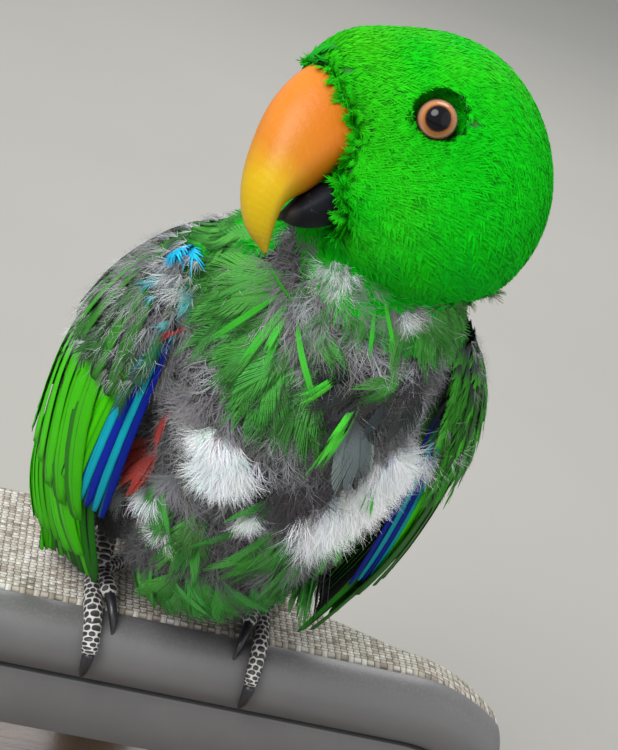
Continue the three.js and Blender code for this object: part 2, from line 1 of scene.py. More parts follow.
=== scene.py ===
"""Finish of a still, life-size male eclectus parrot that grips a cut length of padded rail.

The bird is drawn in millimetres from the middle of the perch's top. It faces -Y, and its
left side is +X. Each finished mesh is written in metres, lifted to the perch's height above
the floor. Feathers are meshes of barbs that lie along the skin.
"""

from __future__ import annotations

import logging
import math
from collections.abc import Callable, Sequence
from dataclasses import dataclass, field, replace
from enum import Enum

import bmesh
import bpy
import numpy as np
from mathutils import Matrix, Vector
from mathutils.bvhtree import BVHTree


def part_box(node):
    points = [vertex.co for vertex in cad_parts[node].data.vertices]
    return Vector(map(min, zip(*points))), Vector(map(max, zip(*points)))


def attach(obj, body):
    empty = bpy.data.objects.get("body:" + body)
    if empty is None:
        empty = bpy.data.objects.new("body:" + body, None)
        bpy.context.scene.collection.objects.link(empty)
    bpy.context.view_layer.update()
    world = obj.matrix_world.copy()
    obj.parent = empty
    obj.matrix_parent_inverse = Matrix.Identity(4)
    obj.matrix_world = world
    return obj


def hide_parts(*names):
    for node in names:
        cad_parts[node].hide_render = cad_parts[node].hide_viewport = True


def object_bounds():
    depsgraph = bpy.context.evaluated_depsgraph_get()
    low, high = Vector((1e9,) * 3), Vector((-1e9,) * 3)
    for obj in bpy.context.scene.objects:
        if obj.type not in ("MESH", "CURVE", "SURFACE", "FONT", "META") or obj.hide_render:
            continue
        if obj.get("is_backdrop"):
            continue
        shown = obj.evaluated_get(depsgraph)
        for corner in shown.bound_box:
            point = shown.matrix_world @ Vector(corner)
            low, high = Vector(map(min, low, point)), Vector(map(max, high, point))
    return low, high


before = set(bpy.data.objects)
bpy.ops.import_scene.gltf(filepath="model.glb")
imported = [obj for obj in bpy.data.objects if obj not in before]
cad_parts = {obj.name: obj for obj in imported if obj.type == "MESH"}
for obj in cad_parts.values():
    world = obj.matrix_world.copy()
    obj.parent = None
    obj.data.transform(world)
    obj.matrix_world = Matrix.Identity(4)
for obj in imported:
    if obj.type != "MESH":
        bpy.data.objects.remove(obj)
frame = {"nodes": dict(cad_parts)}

log = logging.getLogger("parrot")

MM = 0.001
BODY = "root"

Array = np.ndarray
Mesh = bmesh.types.BMesh
Draw = np.random.Generator
Colour = tuple[float, float, float]
Point = tuple[float, float, float]
Pixel = tuple[float, float]


class Tint:
    """Colours of the bird and its perch, as linear red, green and blue."""

    HEAD = (0.002, 0.47, 0.004)
    LIME = (0.045, 0.5, 0.004)
    LEAF = (0.065, 0.31, 0.05)
    BRIGHT = (0.07, 0.58, 0.04)
    OLIVE = (0.055, 0.195, 0.024)
    BACK = (0.006, 0.3, 0.01)
    WING = (0.062, 0.6, 0.002)
    TAIL = (0.006, 0.21, 0.045)
    JET = (0.006, 0.009, 0.009)
    SLATE = (0.055, 0.06, 0.068)
    WORN = (0.022, 0.024, 0.026)
    BLUE = (0.003, 0.016, 0.33)
    AQUA = (0.004, 0.36, 0.46)
    RED = (0.32, 0.04, 0.034)
    ASH = (0.185, 0.18, 0.185)
    SOOT = (0.04, 0.037, 0.038)
    SNOW = (0.8, 0.84, 0.86)


def blend(a: Colour | Array, b: Colour | Array, share: float | Array) -> Array:
    """Return the colour or value that lies at a share of the way from a to b."""
    return np.asarray(a, float) * (1 - share) + np.asarray(b, float) * share


def ease(value: Array | float, low: float, high: float) -> Array:
    """Return how far each value has come from low to high, smoothly from 0 to 1."""
    t = np.clip((np.asarray(value, float) - low) / (high - low), 0, 1)
    return t * t * (3 - 2 * t)


def unit(vectors: Array) -> Array:
    """Return the vectors at length 1."""
    return vectors / np.maximum(np.linalg.norm(vectors, axis=-1, keepdims=True), 1e-9)


def dot(a: Array, b: Array) -> Array:
    """Return the row by row scalar product, kept as a column."""
    return np.sum(a * b, axis=-1, keepdims=True)


def along_surface(vectors: Array, normals: Array) -> Array:
    """Return the vectors laid into the planes that the normals stand on, at length 1."""
    return unit(vectors - dot(vectors, normals) * normals)


def knots(rows: Sequence | Array, t: Array | float) -> Array:
    """Read values at evenly spaced knots.

    Args:
        rows: One row of values for each knot.
        t: Where to read, from 0 at the first knot to 1 at the last.

    Returns:
        The smooth values, with one row for each t.
    """
    table = np.asarray(rows, float)
    padded = np.vstack([2 * table[:1] - table[1:2], table, 2 * table[-1:] - table[-2:-1]])
    x = np.clip(np.asarray(t, float), 0, 1) * (len(table) - 1)
    i = np.minimum(x.astype(int), len(table) - 2)
    f = (x - i)[..., None]
    a, b, c, d = (padded[i + k] for k in range(4))
    return b + 0.5 * f * (c - a + f * (2 * a - 5 * b + 4 * c - d + f * (3 * b - a - 3 * c + d)))


def bezier(points: Sequence, t: Array) -> Array:
    """Return the points of a cubic Bezier curve at each t."""
    a, b, c, d = (np.asarray(p, float) for p in points)
    s = t[..., None]
    return (1 - s) ** 3 * a + 3 * s * (1 - s) ** 2 * b + 3 * s * s * (1 - s) * c + s**3 * d


def ripple(points: Array, size: float, seed: float) -> Array:
    """Return a smooth, seeded unevenness from 0 to 1 at each point, with patches of a size."""
    p = points / size * math.tau
    waves = [
        np.sin(p @ np.array([0.61, 0.32, 0.73]) + seed),
        np.sin(p @ np.array([-0.42, 0.83, 0.35]) + 1.7 * seed),
        np.sin(p @ np.array([0.27, -0.55, 0.91]) + 2.9 * seed),
        np.sin(p @ np.array([1.31, 0.74, -0.52]) + 0.6 * seed),
    ]
    return np.clip(0.5 + 0.22 * sum(waves), 0, 1)


# Shader graphs


class Socket:
    """A shader socket that takes part in Python arithmetic."""

    def __init__(self, graph: Graph, link: bpy.types.NodeSocket) -> None:
        """Keep the graph and the output socket."""
        self.graph = graph
        self.link = link

    def _math(self, operation: str, *values: Socket | float) -> Socket:
        """Return the result of a Math node on the values."""
        settings = {"operation": operation}
        return self.graph.node("ShaderNodeMath", settings, dict(enumerate(values)))

    def __add__(self, other: Socket | float) -> Socket:
        """Return the sum."""
        return self._math("ADD", self, other)

    def __sub__(self, other: Socket | float) -> Socket:
        """Return the difference."""
        return self._math("SUBTRACT", self, other)

    def __rsub__(self, other: float) -> Socket:
        """Return the reflected difference."""
        return self._math("SUBTRACT", other, self)

    def __mul__(self, other: Socket | float) -> Socket:
        """Return the product."""
        return self._math("MULTIPLY", self, other)

    def __truediv__(self, other: Socket | float) -> Socket:
        """Return the quotient."""
        return self._math("DIVIDE", self, other)

    __radd__ = __add__
    __rmul__ = __mul__

    def sine(self) -> Socket:
        """Return the sine."""
        return self._math("SINE", self)

    def size(self) -> Socket:
        """Return the absolute value."""
        return self._math("ABSOLUTE", self)

    def power(self, exponent: float) -> Socket:
        """Return the value raised to an exponent."""
        return self._math("POWER", self, exponent)

    def whole(self) -> Socket:
        """Return the value rounded down."""
        return self._math("FLOOR", self)

    def part(self) -> Socket:
        """Return what is left after rounding down."""
        return self._math("FRACT", self)

    def ease(self, low: float, high: float) -> Socket:
        """Return how far the value has come from low to high, smoothly from 0 to 1."""
        settings = {"interpolation_type": "SMOOTHSTEP"}
        return self.graph.node("ShaderNodeMapRange", settings, {0: self, 1: low, 2: high})


class Graph:
    """The node tree of one material, filled by expressions."""

    def __init__(self, name: str) -> None:
        """Start an empty material of that name."""
        self.material = bpy.data.materials.new(name)
        self.material.use_nodes = True
        self.tree = self.material.node_tree
        self.tree.nodes.clear()

    def node(self, kind: str, settings: dict | None = None, sockets: dict | None = None,
             output: int | str = 0) -> Socket:
        """Make one node.

        Args:
            kind: The node's type.
            settings: Its own settings, set first; stops are those of a colour ramp.
            sockets: Values or links of its input sockets, by name or number.
            output: Which output socket to return.

        Returns:
            The output socket.
        """
        made = self.tree.nodes.new(kind)
        for key, value in (settings or {}).items():
            if key == "stops":
                self._stops(made.color_ramp, value)
            else:
                setattr(made, key, value)
        for key, value in (sockets or {}).items():
            self._feed(made.inputs[key], value)
        return Socket(self, made.outputs[output] if len(made.outputs) else None)

    def _feed(self, socket: bpy.types.NodeSocket, value: Socket | float | Sequence) -> None:
        """Link a socket, or set its value."""
        if isinstance(value, Socket):
            self.tree.links.new(value.link, socket)
        elif socket.type == "RGBA":
            socket.default_value = (*value, 1.0)
        else:
            socket.default_value = value

    @staticmethod
    def _stops(ramp: bpy.types.ColorRamp, stops: Sequence[tuple[float, Colour]]) -> None:
        """Give a colour ramp its stops."""
        while len(ramp.elements) < len(stops):
            ramp.elements.new(0.5)
        for element, (place, colour) in zip(ramp.elements, stops):
            element.position = place
            element.color = (*colour, 1.0)

    def place(self) -> Socket:
        """Return the object coordinates, in metres."""
        return self.node("ShaderNodeTexCoord", output="Object")

    def axes(self, vector: Socket) -> list[Socket]:
        """Return the three parts of a vector."""
        return [self.node("ShaderNodeSeparateXYZ", None, {0: vector}, k) for k in range(3)]

    def uv(self, name: str) -> list[Socket]:
        """Return the two parts of a UV map."""
        return self.axes(self.node("ShaderNodeUVMap", {"uv_map": name}))[:2]

    def tint(self, name: str) -> Socket:
        """Return a colour attribute."""
        return self.node("ShaderNodeAttribute", {"attribute_name": name}, output="Color")

    def value(self, name: str) -> Socket:
        """Return a number attribute."""
        return self.node("ShaderNodeAttribute", {"attribute_name": name}, output="Fac")

    def noise(self, vector: Socket, scale: float, detail: float = 3.0, rough: float = 0.55) -> Socket:
        """Return a noise value from 0 to 1."""
        sockets = {"Vector": vector, "Scale": scale, "Detail": detail, "Roughness": rough}
        return self.node("ShaderNodeTexNoise", None, sockets)

    def stretch(self, vector: Socket, scale: Point, turn: Point = (0, 0, 0)) -> Socket:
        """Return a vector that is turned and scaled along its axes."""
        sockets = {"Vector": vector, "Scale": scale, "Rotation": turn}
        return self.node("ShaderNodeMapping", None, sockets)

    def mix(self, share: Socket | float, a: Socket | Colour, b: Socket | Colour) -> Socket:
        """Return two colours mixed."""
        return self.node("ShaderNodeMix", {"data_type": "RGBA"}, {0: share, 6: a, 7: b}, 2)

    def ramp(self, value: Socket, stops: Sequence[tuple[float, Colour]]) -> Socket:
        """Return the colour of a ramp at a value."""
        return self.node("ShaderNodeValToRGB", {"stops": stops}, {0: value})

    def bump(self, height: Socket, strength: float, distance: float) -> Socket:
        """Return the normal that a height in metres times a distance gives."""
        sockets = {"Strength": strength, "Distance": distance, "Height": height}
        return self.node("ShaderNodeBump", None, sockets)

    def finish(self, **sockets: Socket | float | Sequence) -> bpy.types.Material:
        """Close the graph with a Principled shader.

        Args:
            **sockets: The shader's inputs, with underscores for spaces.

        Returns:
            The finished material.
        """
        named = {key.replace("_", " "): value for key, value in sockets.items()}
        shader = self.node("ShaderNodeBsdfPrincipled", None, named)
        self.node("ShaderNodeOutputMaterial", None, {0: shader})
        return self.material


# Finishes


@dataclass(frozen=True)
class Finish:
    """What dresses a piece: a named material with a look of its own."""

    name: str

    def material(self) -> bpy.types.Material:
        """Return the material."""
        g = Graph(self.name)
        return g.finish(**self.look(g, g.place()))

    def look(self, g: Graph, place: Socket) -> dict:
        """Return the shader's inputs.

        Args:
            g: The material's graph.
            place: The object coordinates.

        Returns:
            Values and links by the inputs' names, with underscores for spaces.
        """
        raise NotImplementedError


@dataclass(frozen=True)
class PlumageFinish(Finish):
    """Feathers: fine barbs either side of a shaft, downy and dull at the root."""

    root: Colour = Tint.SLATE
    root_fade: tuple[float, float] = (0.08, 0.42)
    barbs: float = 46.0
    lean: float = 0.55
    contrast: float = 0.22
    cloud: float = 0.2
    gloss: float = 0.55
    rim_from: tuple[float, float] = (0.6, 0.74)
    relief: float = 0.00012
    sheen: float = 0.08

    def look(self, g: Graph, place: Socket) -> dict:
        """Return the look, which reads the feather's own map and colours."""
        along, across = g.uv("Vane")
        off = (across - 0.5).size()
        uneven = g.noise(place, 900.0, 2.0)
        barb = ((along - off * self.lean) * (self.barbs * math.tau) + uneven * 5.0).sine() * 0.5 + 0.5
        shaft = 1.0 - off.ease(0.012, 0.04)
        patch = g.noise(place, 210.0, 3.0)
        plume = g.tint("plume")
        edge = (across + (patch - 0.5) * 0.1).ease(*self.rim_from)
        colour = g.mix(edge, plume, g.tint("rim"))
        colour = g.mix(1.0 - (along + (patch - 0.5) * 0.3).ease(*self.root_fade), colour, self.root)
        dark = barb * self.contrast + (1.0 - patch) * self.cloud
        colour = g.mix(dark, colour, (0.0, 0.012, 0.004))
        colour = g.mix(shaft * 0.35, colour, (0.03, 0.05, 0.02))
        rough = self.gloss + patch * 0.22
        normal = g.bump(barb + shaft * 2.0, 0.6, self.relief)
        return dict(Base_Color=colour, Roughness=rough, Normal=normal,
                    Specular_IOR_Level=self.sheen)


@dataclass(frozen=True)
class DownFinish(Finish):
    """Loose down: soft strands that pale towards their ends, with painted shade in dark random patches."""

    pale: float = 0.35
    blotches: float = 0.4

    def look(self, g: Graph, place: Socket) -> dict:
        """Return the look."""
        along, _ = g.uv("Vane")
        patch = g.noise(place, 160.0, 4.0)
        colour = g.mix(along.ease(0.1, 0.9) * self.pale, g.tint("plume"), g.tint("rim"))
        # Painted shade: dark random patches stand in for the shade among the strands.
        colour = g.mix((1.0 - patch) * self.blotches, colour, (0.02, 0.017, 0.018))
        return dict(Base_Color=colour, Roughness=0.85, Specular_IOR_Level=0.15)


@dataclass(frozen=True)
class SkinFinish(Finish):
    """Skin under the coat, painted as shade for the gaps in the coat: dark, and dark green where the coat
    over it is green.
    """

    def look(self, g: Graph, place: Socket) -> dict:
        """Return the look."""
        mottle = g.noise(place, 240.0, 5.0, 0.65)
        # Painted shade: the skin is dark so that gaps between the feathers show as shade.
        dull = g.mix(mottle, Tint.SOOT, (0.03, 0.03, 0.032))
        # Painted shade in green where the head's green coat lies over the skin.
        colour = g.mix(g.value("green"), dull, (0.004, 0.13, 0.004))
        pores = g.node("ShaderNodeTexVoronoi", None, {"Vector": place, "Scale": 700.0})
        return dict(Base_Color=colour, Roughness=0.7 + mottle * 0.15,
                    Normal=g.bump(pores, 0.5, 0.0004))


@dataclass(frozen=True)
class BillFinish(Finish):
    """Horn of the upper bill: orange at the base, yellow to the tip, with a painted peach highlight along
    the ridge.
    """

    stops: tuple[tuple[float, Colour], ...]
    gloss: float = 0.3
    # The colour of the painted highlight along the ridge.
    ridge: Colour = (0.6, 0.19, 0.022)
    highlight_share: float = 0.6

    def look(self, g: Graph, place: Socket) -> dict:
        """Return the look, which reads how far along and how high each point is."""
        along = g.value("along")
        high = g.value("high")
        cloud = g.noise(place, 95.0, 3.0)
        grain = g.noise(g.stretch(place, (260.0, 260.0, 60.0)), 6.0, 4.0, 0.6)
        colour = g.ramp(along + (cloud - 0.5) * 0.16 + (high - 0.2) * -0.06, self.stops)
        # Painted highlight: a peach stripe along the top of the ridge, fading out towards the tip.
        ridge_highlight = high.ease(0.55, 0.98) * (1.0 - along.ease(0.34, 0.6)) * self.highlight_share
        colour = g.mix(ridge_highlight, colour, self.ridge)
        colour = g.mix(grain.ease(0.55, 0.95) * 0.16, colour, (0.95, 0.72, 0.42))
        wear = g.noise(g.stretch(place, (900.0, 900.0, 180.0)), 2.0, 5.0, 0.7)
        colour = g.mix(wear.ease(0.62, 0.8) * 0.22, colour, (0.35, 0.12, 0.03))
        rings = ((along + (cloud - 0.5) * 0.03) * 160.0).sine()
        normal = g.bump(grain + rings * 0.12 + wear * 0.3, 0.35, 0.00025)
        return dict(
            Base_Color=colour, Roughness=self.gloss + grain * 0.14 + wear * 0.06, Normal=normal,
            Coat_Weight=0.05 - wear * 0.03, Coat_Roughness=0.3, Specular_IOR_Level=0.2,
        )


@dataclass(frozen=True)
class ClawFinish(Finish):
    """Black horn of the claws and the lower bill: worn, fibrous, glossy."""

    base: Colour = (0.012, 0.012, 0.015)
    worn: Colour = (0.055, 0.05, 0.048)
    gloss: float = 0.3
    coat: float = 0.2
    shine: float = 0.35

    def look(self, g: Graph, place: Socket) -> dict:
        """Return the look."""
        along = g.value("along")
        fibre = g.noise(g.stretch(place, (900.0, 900.0, 260.0)), 2.0, 4.0, 0.6)
        flake = g.noise(place, 420.0, 5.0, 0.7)
        colour = g.mix(fibre.ease(0.45, 0.85) * 0.45, self.base, self.worn)
        colour = g.mix(flake.ease(0.6, 0.72) * 0.25, colour, (0.11, 0.105, 0.1))
        colour = g.mix(along.ease(0.8, 1.0) * 0.3, colour, (0.1, 0.08, 0.065))
        normal = g.bump(fibre + flake * 0.4, 0.4, 0.0002)
        rough = self.gloss + flake * 0.25
        return dict(Base_Color=colour, Roughness=rough, Normal=normal, Coat_Weight=self.coat,
                    Specular_IOR_Level=self.shine)


@dataclass(frozen=True)
class ScuteFinish(Finish):
    """Scaled skin of the toes: black plates set in pale ridges."""

    def look(self, g: Graph, place: Socket) -> dict:
        """Return the look, which reads how far each point lies inside its plate."""
        blotches = g.noise(place, 700.0, 4.0, 0.65)
        plate = (g.value("plate") + (blotches - 0.5) * 0.45).ease(0.1, 0.28)
        pale = g.mix(blotches, (0.62, 0.6, 0.56), (0.3, 0.28, 0.26))
        dark = g.mix(blotches, (0.01, 0.01, 0.012), (0.045, 0.042, 0.042))
        return dict(
            Base_Color=g.mix(plate, pale, dark), Roughness=0.62 - plate * 0.2,
            Normal=g.bump(blotches, 0.5, 0.0003), Specular_IOR_Level=0.4,
        )


@dataclass(frozen=True)
class EyeFinish(Finish):
    """Wet eye: a black pupil in a brown iris with a thin orange outer ring."""

    pupil: float = 0.61
    iris: float = 0.8

    def look(self, g: Graph, place: Socket) -> dict:
        """Return the look, which reads the distance from the pupil's middle."""
        ring = g.value("ring")
        ray = g.noise(place, 1500.0, 3.0, 0.6)
        stops = (
            (0.0, (0.002, 0.002, 0.003)), (self.pupil - 0.05, (0.003, 0.003, 0.004)),
            (self.pupil, (0.06, 0.018, 0.006)), (self.pupil + 0.05, (0.3, 0.105, 0.03)),
            (self.iris, (0.46, 0.19, 0.06)), (self.iris + 0.1, (0.3, 0.1, 0.04)),
            (1.0, (0.01, 0.006, 0.005)),
        )
        colour = g.ramp(ring + (ray - 0.5) * 0.05, stops)
        return dict(Base_Color=colour, Roughness=0.12, Specular_IOR_Level=0.2)


@dataclass(frozen=True)
class LidFinish(Finish):
    """Bare, finely wrinkled skin of the eyelids."""

    def look(self, g: Graph, place: Socket) -> dict:
        """Return the look."""
        wrinkle = g.noise(place, 1400.0, 4.0, 0.7)
        colour = g.mix(wrinkle, (0.33, 0.14, 0.07), (0.12, 0.1, 0.09))
        return dict(
            Base_Color=colour, Roughness=0.55, Normal=g.bump(wrinkle, 0.6, 0.0003),
            Specular_IOR_Level=0.4,
        )


@dataclass(frozen=True)
class PaintFinish(Finish):
    """Satin paint on sheet metal: fine orange peel, dust, and wear where hands rub it."""

    base: Colour = (0.098, 0.094, 0.094)

    def look(self, g: Graph, place: Socket) -> dict:
        """Return the look."""
        peel = g.noise(place, 1100.0, 2.0)
        dust = g.noise(place, 60.0, 5.0, 0.65)
        scratch = g.noise(g.stretch(place, (30.0, 900.0, 900.0), (0.05, 0.1, 0.12)), 2.0, 3.0, 0.6)
        marks = scratch.ease(0.7, 0.78) * dust.ease(0.45, 0.65)
        colour = g.mix(dust.ease(0.35, 0.75) * 0.35, self.base, (0.125, 0.12, 0.118))
        colour = g.mix(marks * 0.4, colour, (0.24, 0.23, 0.225))
        colour = g.mix(g.value("worn") * peel.ease(0.45, 0.7) * 0.22, colour, (0.2, 0.2, 0.205))
        normal = g.bump(peel + marks * -1.5, 0.35, 0.00018)
        rough = 0.36 + dust * 0.16 + marks * 0.1
        return dict(Base_Color=colour, Roughness=rough, Normal=normal,
                    Coat_Weight=0.12, Coat_Roughness=0.3)


@dataclass(frozen=True)
class WeaveFinish(Finish):
    """Coarse basket weave of cream yarn with grey and brown slubs, and painted shade in the grooves between
    the yarns.
    """

    yarn: float = 2.3 * MM

    def look(self, g: Graph, place: Socket) -> dict:
        """Return the look, which repeats in object coordinates."""
        wobble = g.noise(place, 130.0, 2.0)
        x, y, z = g.axes(place)
        fall = y + z * -1.0
        across = x / self.yarn + wobble * 0.35
        ahead = fall / (self.yarn * 0.62) + wobble * 0.3
        weft = (across.whole() + ahead.whole()) * 0.5
        over = (weft.part() * 2.0).ease(0.45, 0.55)
        round_x = 1.0 - (across.part() - 0.5).size() * 2.0
        round_y = 1.0 - (ahead.part() - 0.5).size() * 2.0
        height = (round_x * (1.0 - over) + round_y * over).power(0.5)
        cell = g.node("ShaderNodeCombineXYZ", None, {0: across.whole(), 1: ahead.whole(), 2: over})
        slub = g.node("ShaderNodeTexWhiteNoise", {"noise_dimensions": "3D"}, {"Vector": cell})
        band = g.noise(g.stretch(place, (180.0, 26.0, 26.0)), 1.6, 3.0)
        stops = ((0.0, (0.085, 0.072, 0.062)), (0.18, (0.24, 0.205, 0.165)), (0.42, (0.42, 0.375, 0.31)),
                 (0.7, (0.53, 0.5, 0.44)), (1.0, (0.62, 0.61, 0.57)))
        colour = g.ramp(slub * 0.62 + band * 0.55 - 0.06, stops)
        fibre = g.noise(place, 2600.0, 3.0, 0.7)
        groove = height.ease(0.25, 0.75)
        # Painted shade: darker in the grooves between the yarns.
        colour = g.mix((1.0 - groove) * 0.75, colour, (0.045, 0.04, 0.036))
        colour = g.mix(fibre.ease(0.55, 0.8) * 0.3, colour, (0.12, 0.11, 0.1))
        normal = g.bump(height + fibre * 0.25, 0.9, 0.0007)
        return dict(Base_Color=colour, Roughness=0.86, Normal=normal, Specular_IOR_Level=0.2)


@dataclass(frozen=True)
class WoodFinish(Finish):
    """Dark stained wood with a satin varnish."""

    def look(self, g: Graph, place: Socket) -> dict:
        """Return the look."""
        bend = g.noise(place, 14.0, 2.0)
        grain = g.noise(g.stretch(place, (7.0, 150.0, 150.0)), 2.0, 6.0, 0.62)
        ring = ((g.axes(place)[1] * 260.0 + bend * 9.0).sine() * 0.5 + 0.5) * 0.55 + grain * 0.45
        stops = ((0.0, (0.022, 0.011, 0.006)), (0.5, (0.06, 0.03, 0.015)), (1.0, (0.115, 0.06, 0.03)))
        pore = g.noise(g.stretch(place, (60.0, 2200.0, 2200.0)), 1.0, 3.0, 0.6)
        colour = g.mix(pore.ease(0.6, 0.72) * 0.6, g.ramp(ring, stops), (0.01, 0.006, 0.004))
        normal = g.bump(ring * 0.3 - pore.ease(0.6, 0.72), 0.4, 0.0002)
        return dict(Base_Color=colour, Roughness=0.34 + grain * 0.16, Normal=normal,
                    Coat_Weight=0.3, Coat_Roughness=0.2)


@dataclass(frozen=True)
class SteelFinish(Finish):
    """Brushed steel of the stand's rods."""

    def look(self, g: Graph, place: Socket) -> dict:
        """Return the look."""
        brush = g.noise(g.stretch(place, (90.0, 90.0, 3200.0)), 1.0, 3.0, 0.6)
        smear = g.noise(place, 50.0, 3.0)
        colour = g.mix(brush * 0.35, (0.62, 0.62, 0.64), (0.4, 0.4, 0.42))
        return dict(Base_Color=colour, Metallic=1.0, Roughness=0.24 + brush * 0.16 + smear * 0.08,
                    Normal=g.bump(brush, 0.25, 0.0001))


@dataclass(frozen=True)
class FloorFinish(Finish):
    """Plain pale floor."""

    def look(self, g: Graph, place: Socket) -> dict:
        """Return the look."""
        cloud = g.noise(place, 3.0, 3.0)
        colour = g.mix(cloud, (0.285, 0.275, 0.25), (0.325, 0.315, 0.287))
        return dict(Base_Color=colour, Roughness=0.7, Specular_IOR_Level=0.25)


# Meshes


def places_of(bm: Mesh) -> Array:
    """Return where a mesh's vertices are."""
    return np.array([v.co for v in bm.verts])


def faces_of(bm: Mesh) -> Array:
    """Return which vertices each of a mesh's faces has."""
    return np.array([[v.index for v in f.verts] for f in bm.faces])


def merge(bm: Mesh, part: Mesh) -> None:
    """Move a part into a mesh."""
    spare = bpy.data.meshes.new("spare")
    part.to_mesh(spare)
    part.free()
    bm.from_mesh(spare)
    bpy.data.meshes.remove(spare)


def thicken(piece: bpy.types.Object, thickness: float) -> None:
    """Give a piece of vanes a thickness in millimetres."""
    thick = piece.modifiers.new("thickness", "SOLIDIFY")
    thick.thickness = thickness * MM
    thick.offset = 0.0


@dataclass
class Workshop:
    """Turns forms drawn in millimetres from the perch's top into finished pieces."""

    top: float
    finishes: dict[str, bpy.types.Material] = field(default_factory=dict)

    def metres(self, points: Array) -> Array:
        """Return points in metres, in the frame of the whole model."""
        return (points + np.array([0.0, 0.0, self.top])) * MM

    def dress(self, finish: Finish) -> bpy.types.Material:
        """Return a finish's material, made once."""
        if finish.name not in self.finishes:
            self.finishes[finish.name] = finish.material()
        return self.finishes[finish.name]

    def settle(self, mesh: bpy.types.Mesh, name: str, finish: Finish,
               replaces: Sequence[str] = ()) -> bpy.types.Object:
        """Make a mesh in metres a piece of the model.

        Args:
            mesh: The finished mesh.
            name: The piece's name.
            finish: What dresses it.
            replaces: CAD nodes that the piece stands for.

        Returns:
            The piece.
        """
        mesh.name = name
        mesh.shade_smooth()
        mesh.materials.append(self.dress(finish))
        piece = bpy.data.objects.new(name, mesh)
        bpy.context.scene.collection.objects.link(piece)
        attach(piece, BODY)
        if replaces:
            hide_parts(*replaces)
        log.info("%s: %d faces", name, len(mesh.polygons))
        return piece

    def cast(self, bm: Mesh, name: str, finish: Finish, slot: str,
             replaces: Sequence[str] = ()) -> bpy.types.Object:
        """Make a bmesh drawn in millimetres a piece; its arguments are those of settle."""
        lift = Matrix.Translation((0, 0, self.top * MM)) @ Matrix.Scale(MM, 4)
        bmesh.ops.transform(bm, matrix=lift, verts=bm.verts)
        mesh = bpy.data.meshes.new(name)
        bm.to_mesh(mesh)
        bm.free()
        return self.settle(mesh, name, finish, replaces)


Ring = tuple[Array, Array, Array, Array]


def loft(ring_at: Callable[[Array], Ring], around: int, along: int) -> Mesh:
    """Draw a closed skin over rings.

    Args:
        ring_at: Gives the rings' centres and their side, up and down vectors at each t.
        around: Faces round a ring.
        along: Rows of faces from end to end.

    Returns:
        The mesh, with how far along and how high each vertex lies as layers.
    """
    bm = bmesh.new()
    bmesh.ops.create_uvsphere(bm, u_segments=around, v_segments=along, radius=1.0)
    ball = places_of(bm)
    row = np.arccos(np.clip(ball[:, 2], -1, 1)) / math.pi * along
    t = np.clip((row - 1) / (along - 2), 0, 1)
    angle = np.arctan2(ball[:, 1], ball[:, 0])
    open_ring = ((row > 0.5) & (row < along - 0.5)).astype(float)[:, None]
    centre, side, up, down = ring_at(t)
    rise, over = np.cos(angle)[:, None], np.sin(angle)[:, None]
    points = centre + open_ring * (over * side + np.abs(rise) * np.where(rise >= 0, up, down))
    layers = [bm.verts.layers.float.new(name) for name in ("along", "high", "turn")]
    for vert, point, *values in zip(bm.verts, points, t, rise[:, 0], angle):
        vert.co = point
        for layer, value in zip(layers, values):
            vert[layer] = value
    bmesh.ops.recalc_face_normals(bm, faces=bm.faces)
    return bm


def run_of(path: Sequence[Point]) -> float:
    """Return how long a path of points is."""
    return float(np.sum(np.linalg.norm(np.diff(np.asarray(path, float), axis=0), axis=1)))


def limb_ring(path: Sequence[Point], radii: Sequence[float]) -> Callable[[Array], Ring]:
    """Draw the rings of a round limb with rounded ends.

    Args:
        path: The knots of its middle line.
        radii: Its radius at evenly spaced knots.

    Returns:
        What gives the ring at each t.
    """
    reach, least = run_of(path), 0.12

    def ring_at(t: Array) -> Ring:
        """Return centre, side, up and down at each t."""
        radius = knots([[r] for r in radii], t)
        near = np.minimum(t, 1 - t)[:, None] * reach
        cap = np.sqrt(np.clip(1 - (1 - np.minimum(near / radius, 1)) ** 2, 0, 1))
        way = unit(knots(path, t + 0.01) - knots(path, t - 0.01))
        side = unit(np.cross(unit(np.cross(np.array([1.0, 0, 0]), way)), way))
        up = unit(np.cross(side, way))
        size = radius * np.maximum(cap, least)
        return knots(path, t), side * size, up * size, -up * size

    return ring_at


def strips(columns: int, rows: int, joined: bool = False) -> tuple[Array, Array, Array]:
    """Draw a flat grid, cut into a strip for each column unless they stay joined.

    Args:
        columns: Faces along.
        rows: Faces across.
        joined: Whether neighbouring strips share their points.

    Returns:
        The points, from -0.5 to 0.5, the middle of each one's strip and the faces.
    """
    bm = bmesh.new()
    bmesh.ops.create_grid(bm, x_segments=columns, y_segments=rows, size=0.5)
    if not joined:
        seams = [e for e in bm.edges if not e.is_boundary and math.isclose(*(v.co.x for v in e.verts))]
        bmesh.ops.split_edges(bm, edges=seams)
    bm.verts.index_update()
    flat = places_of(bm)
    middle = flat[:, 0] if joined else [v.link_faces[0].calc_center_median().x for v in bm.verts]
    faces = faces_of(bm)
    bm.free()
    return flat, np.array(middle) + 0.5, faces


@dataclass(frozen=True)
class Template:
    """One feather or tuft, drawn once: places along, across and above, its faces and its map."""

    shape: Array
    faces: Array
    chart: Array


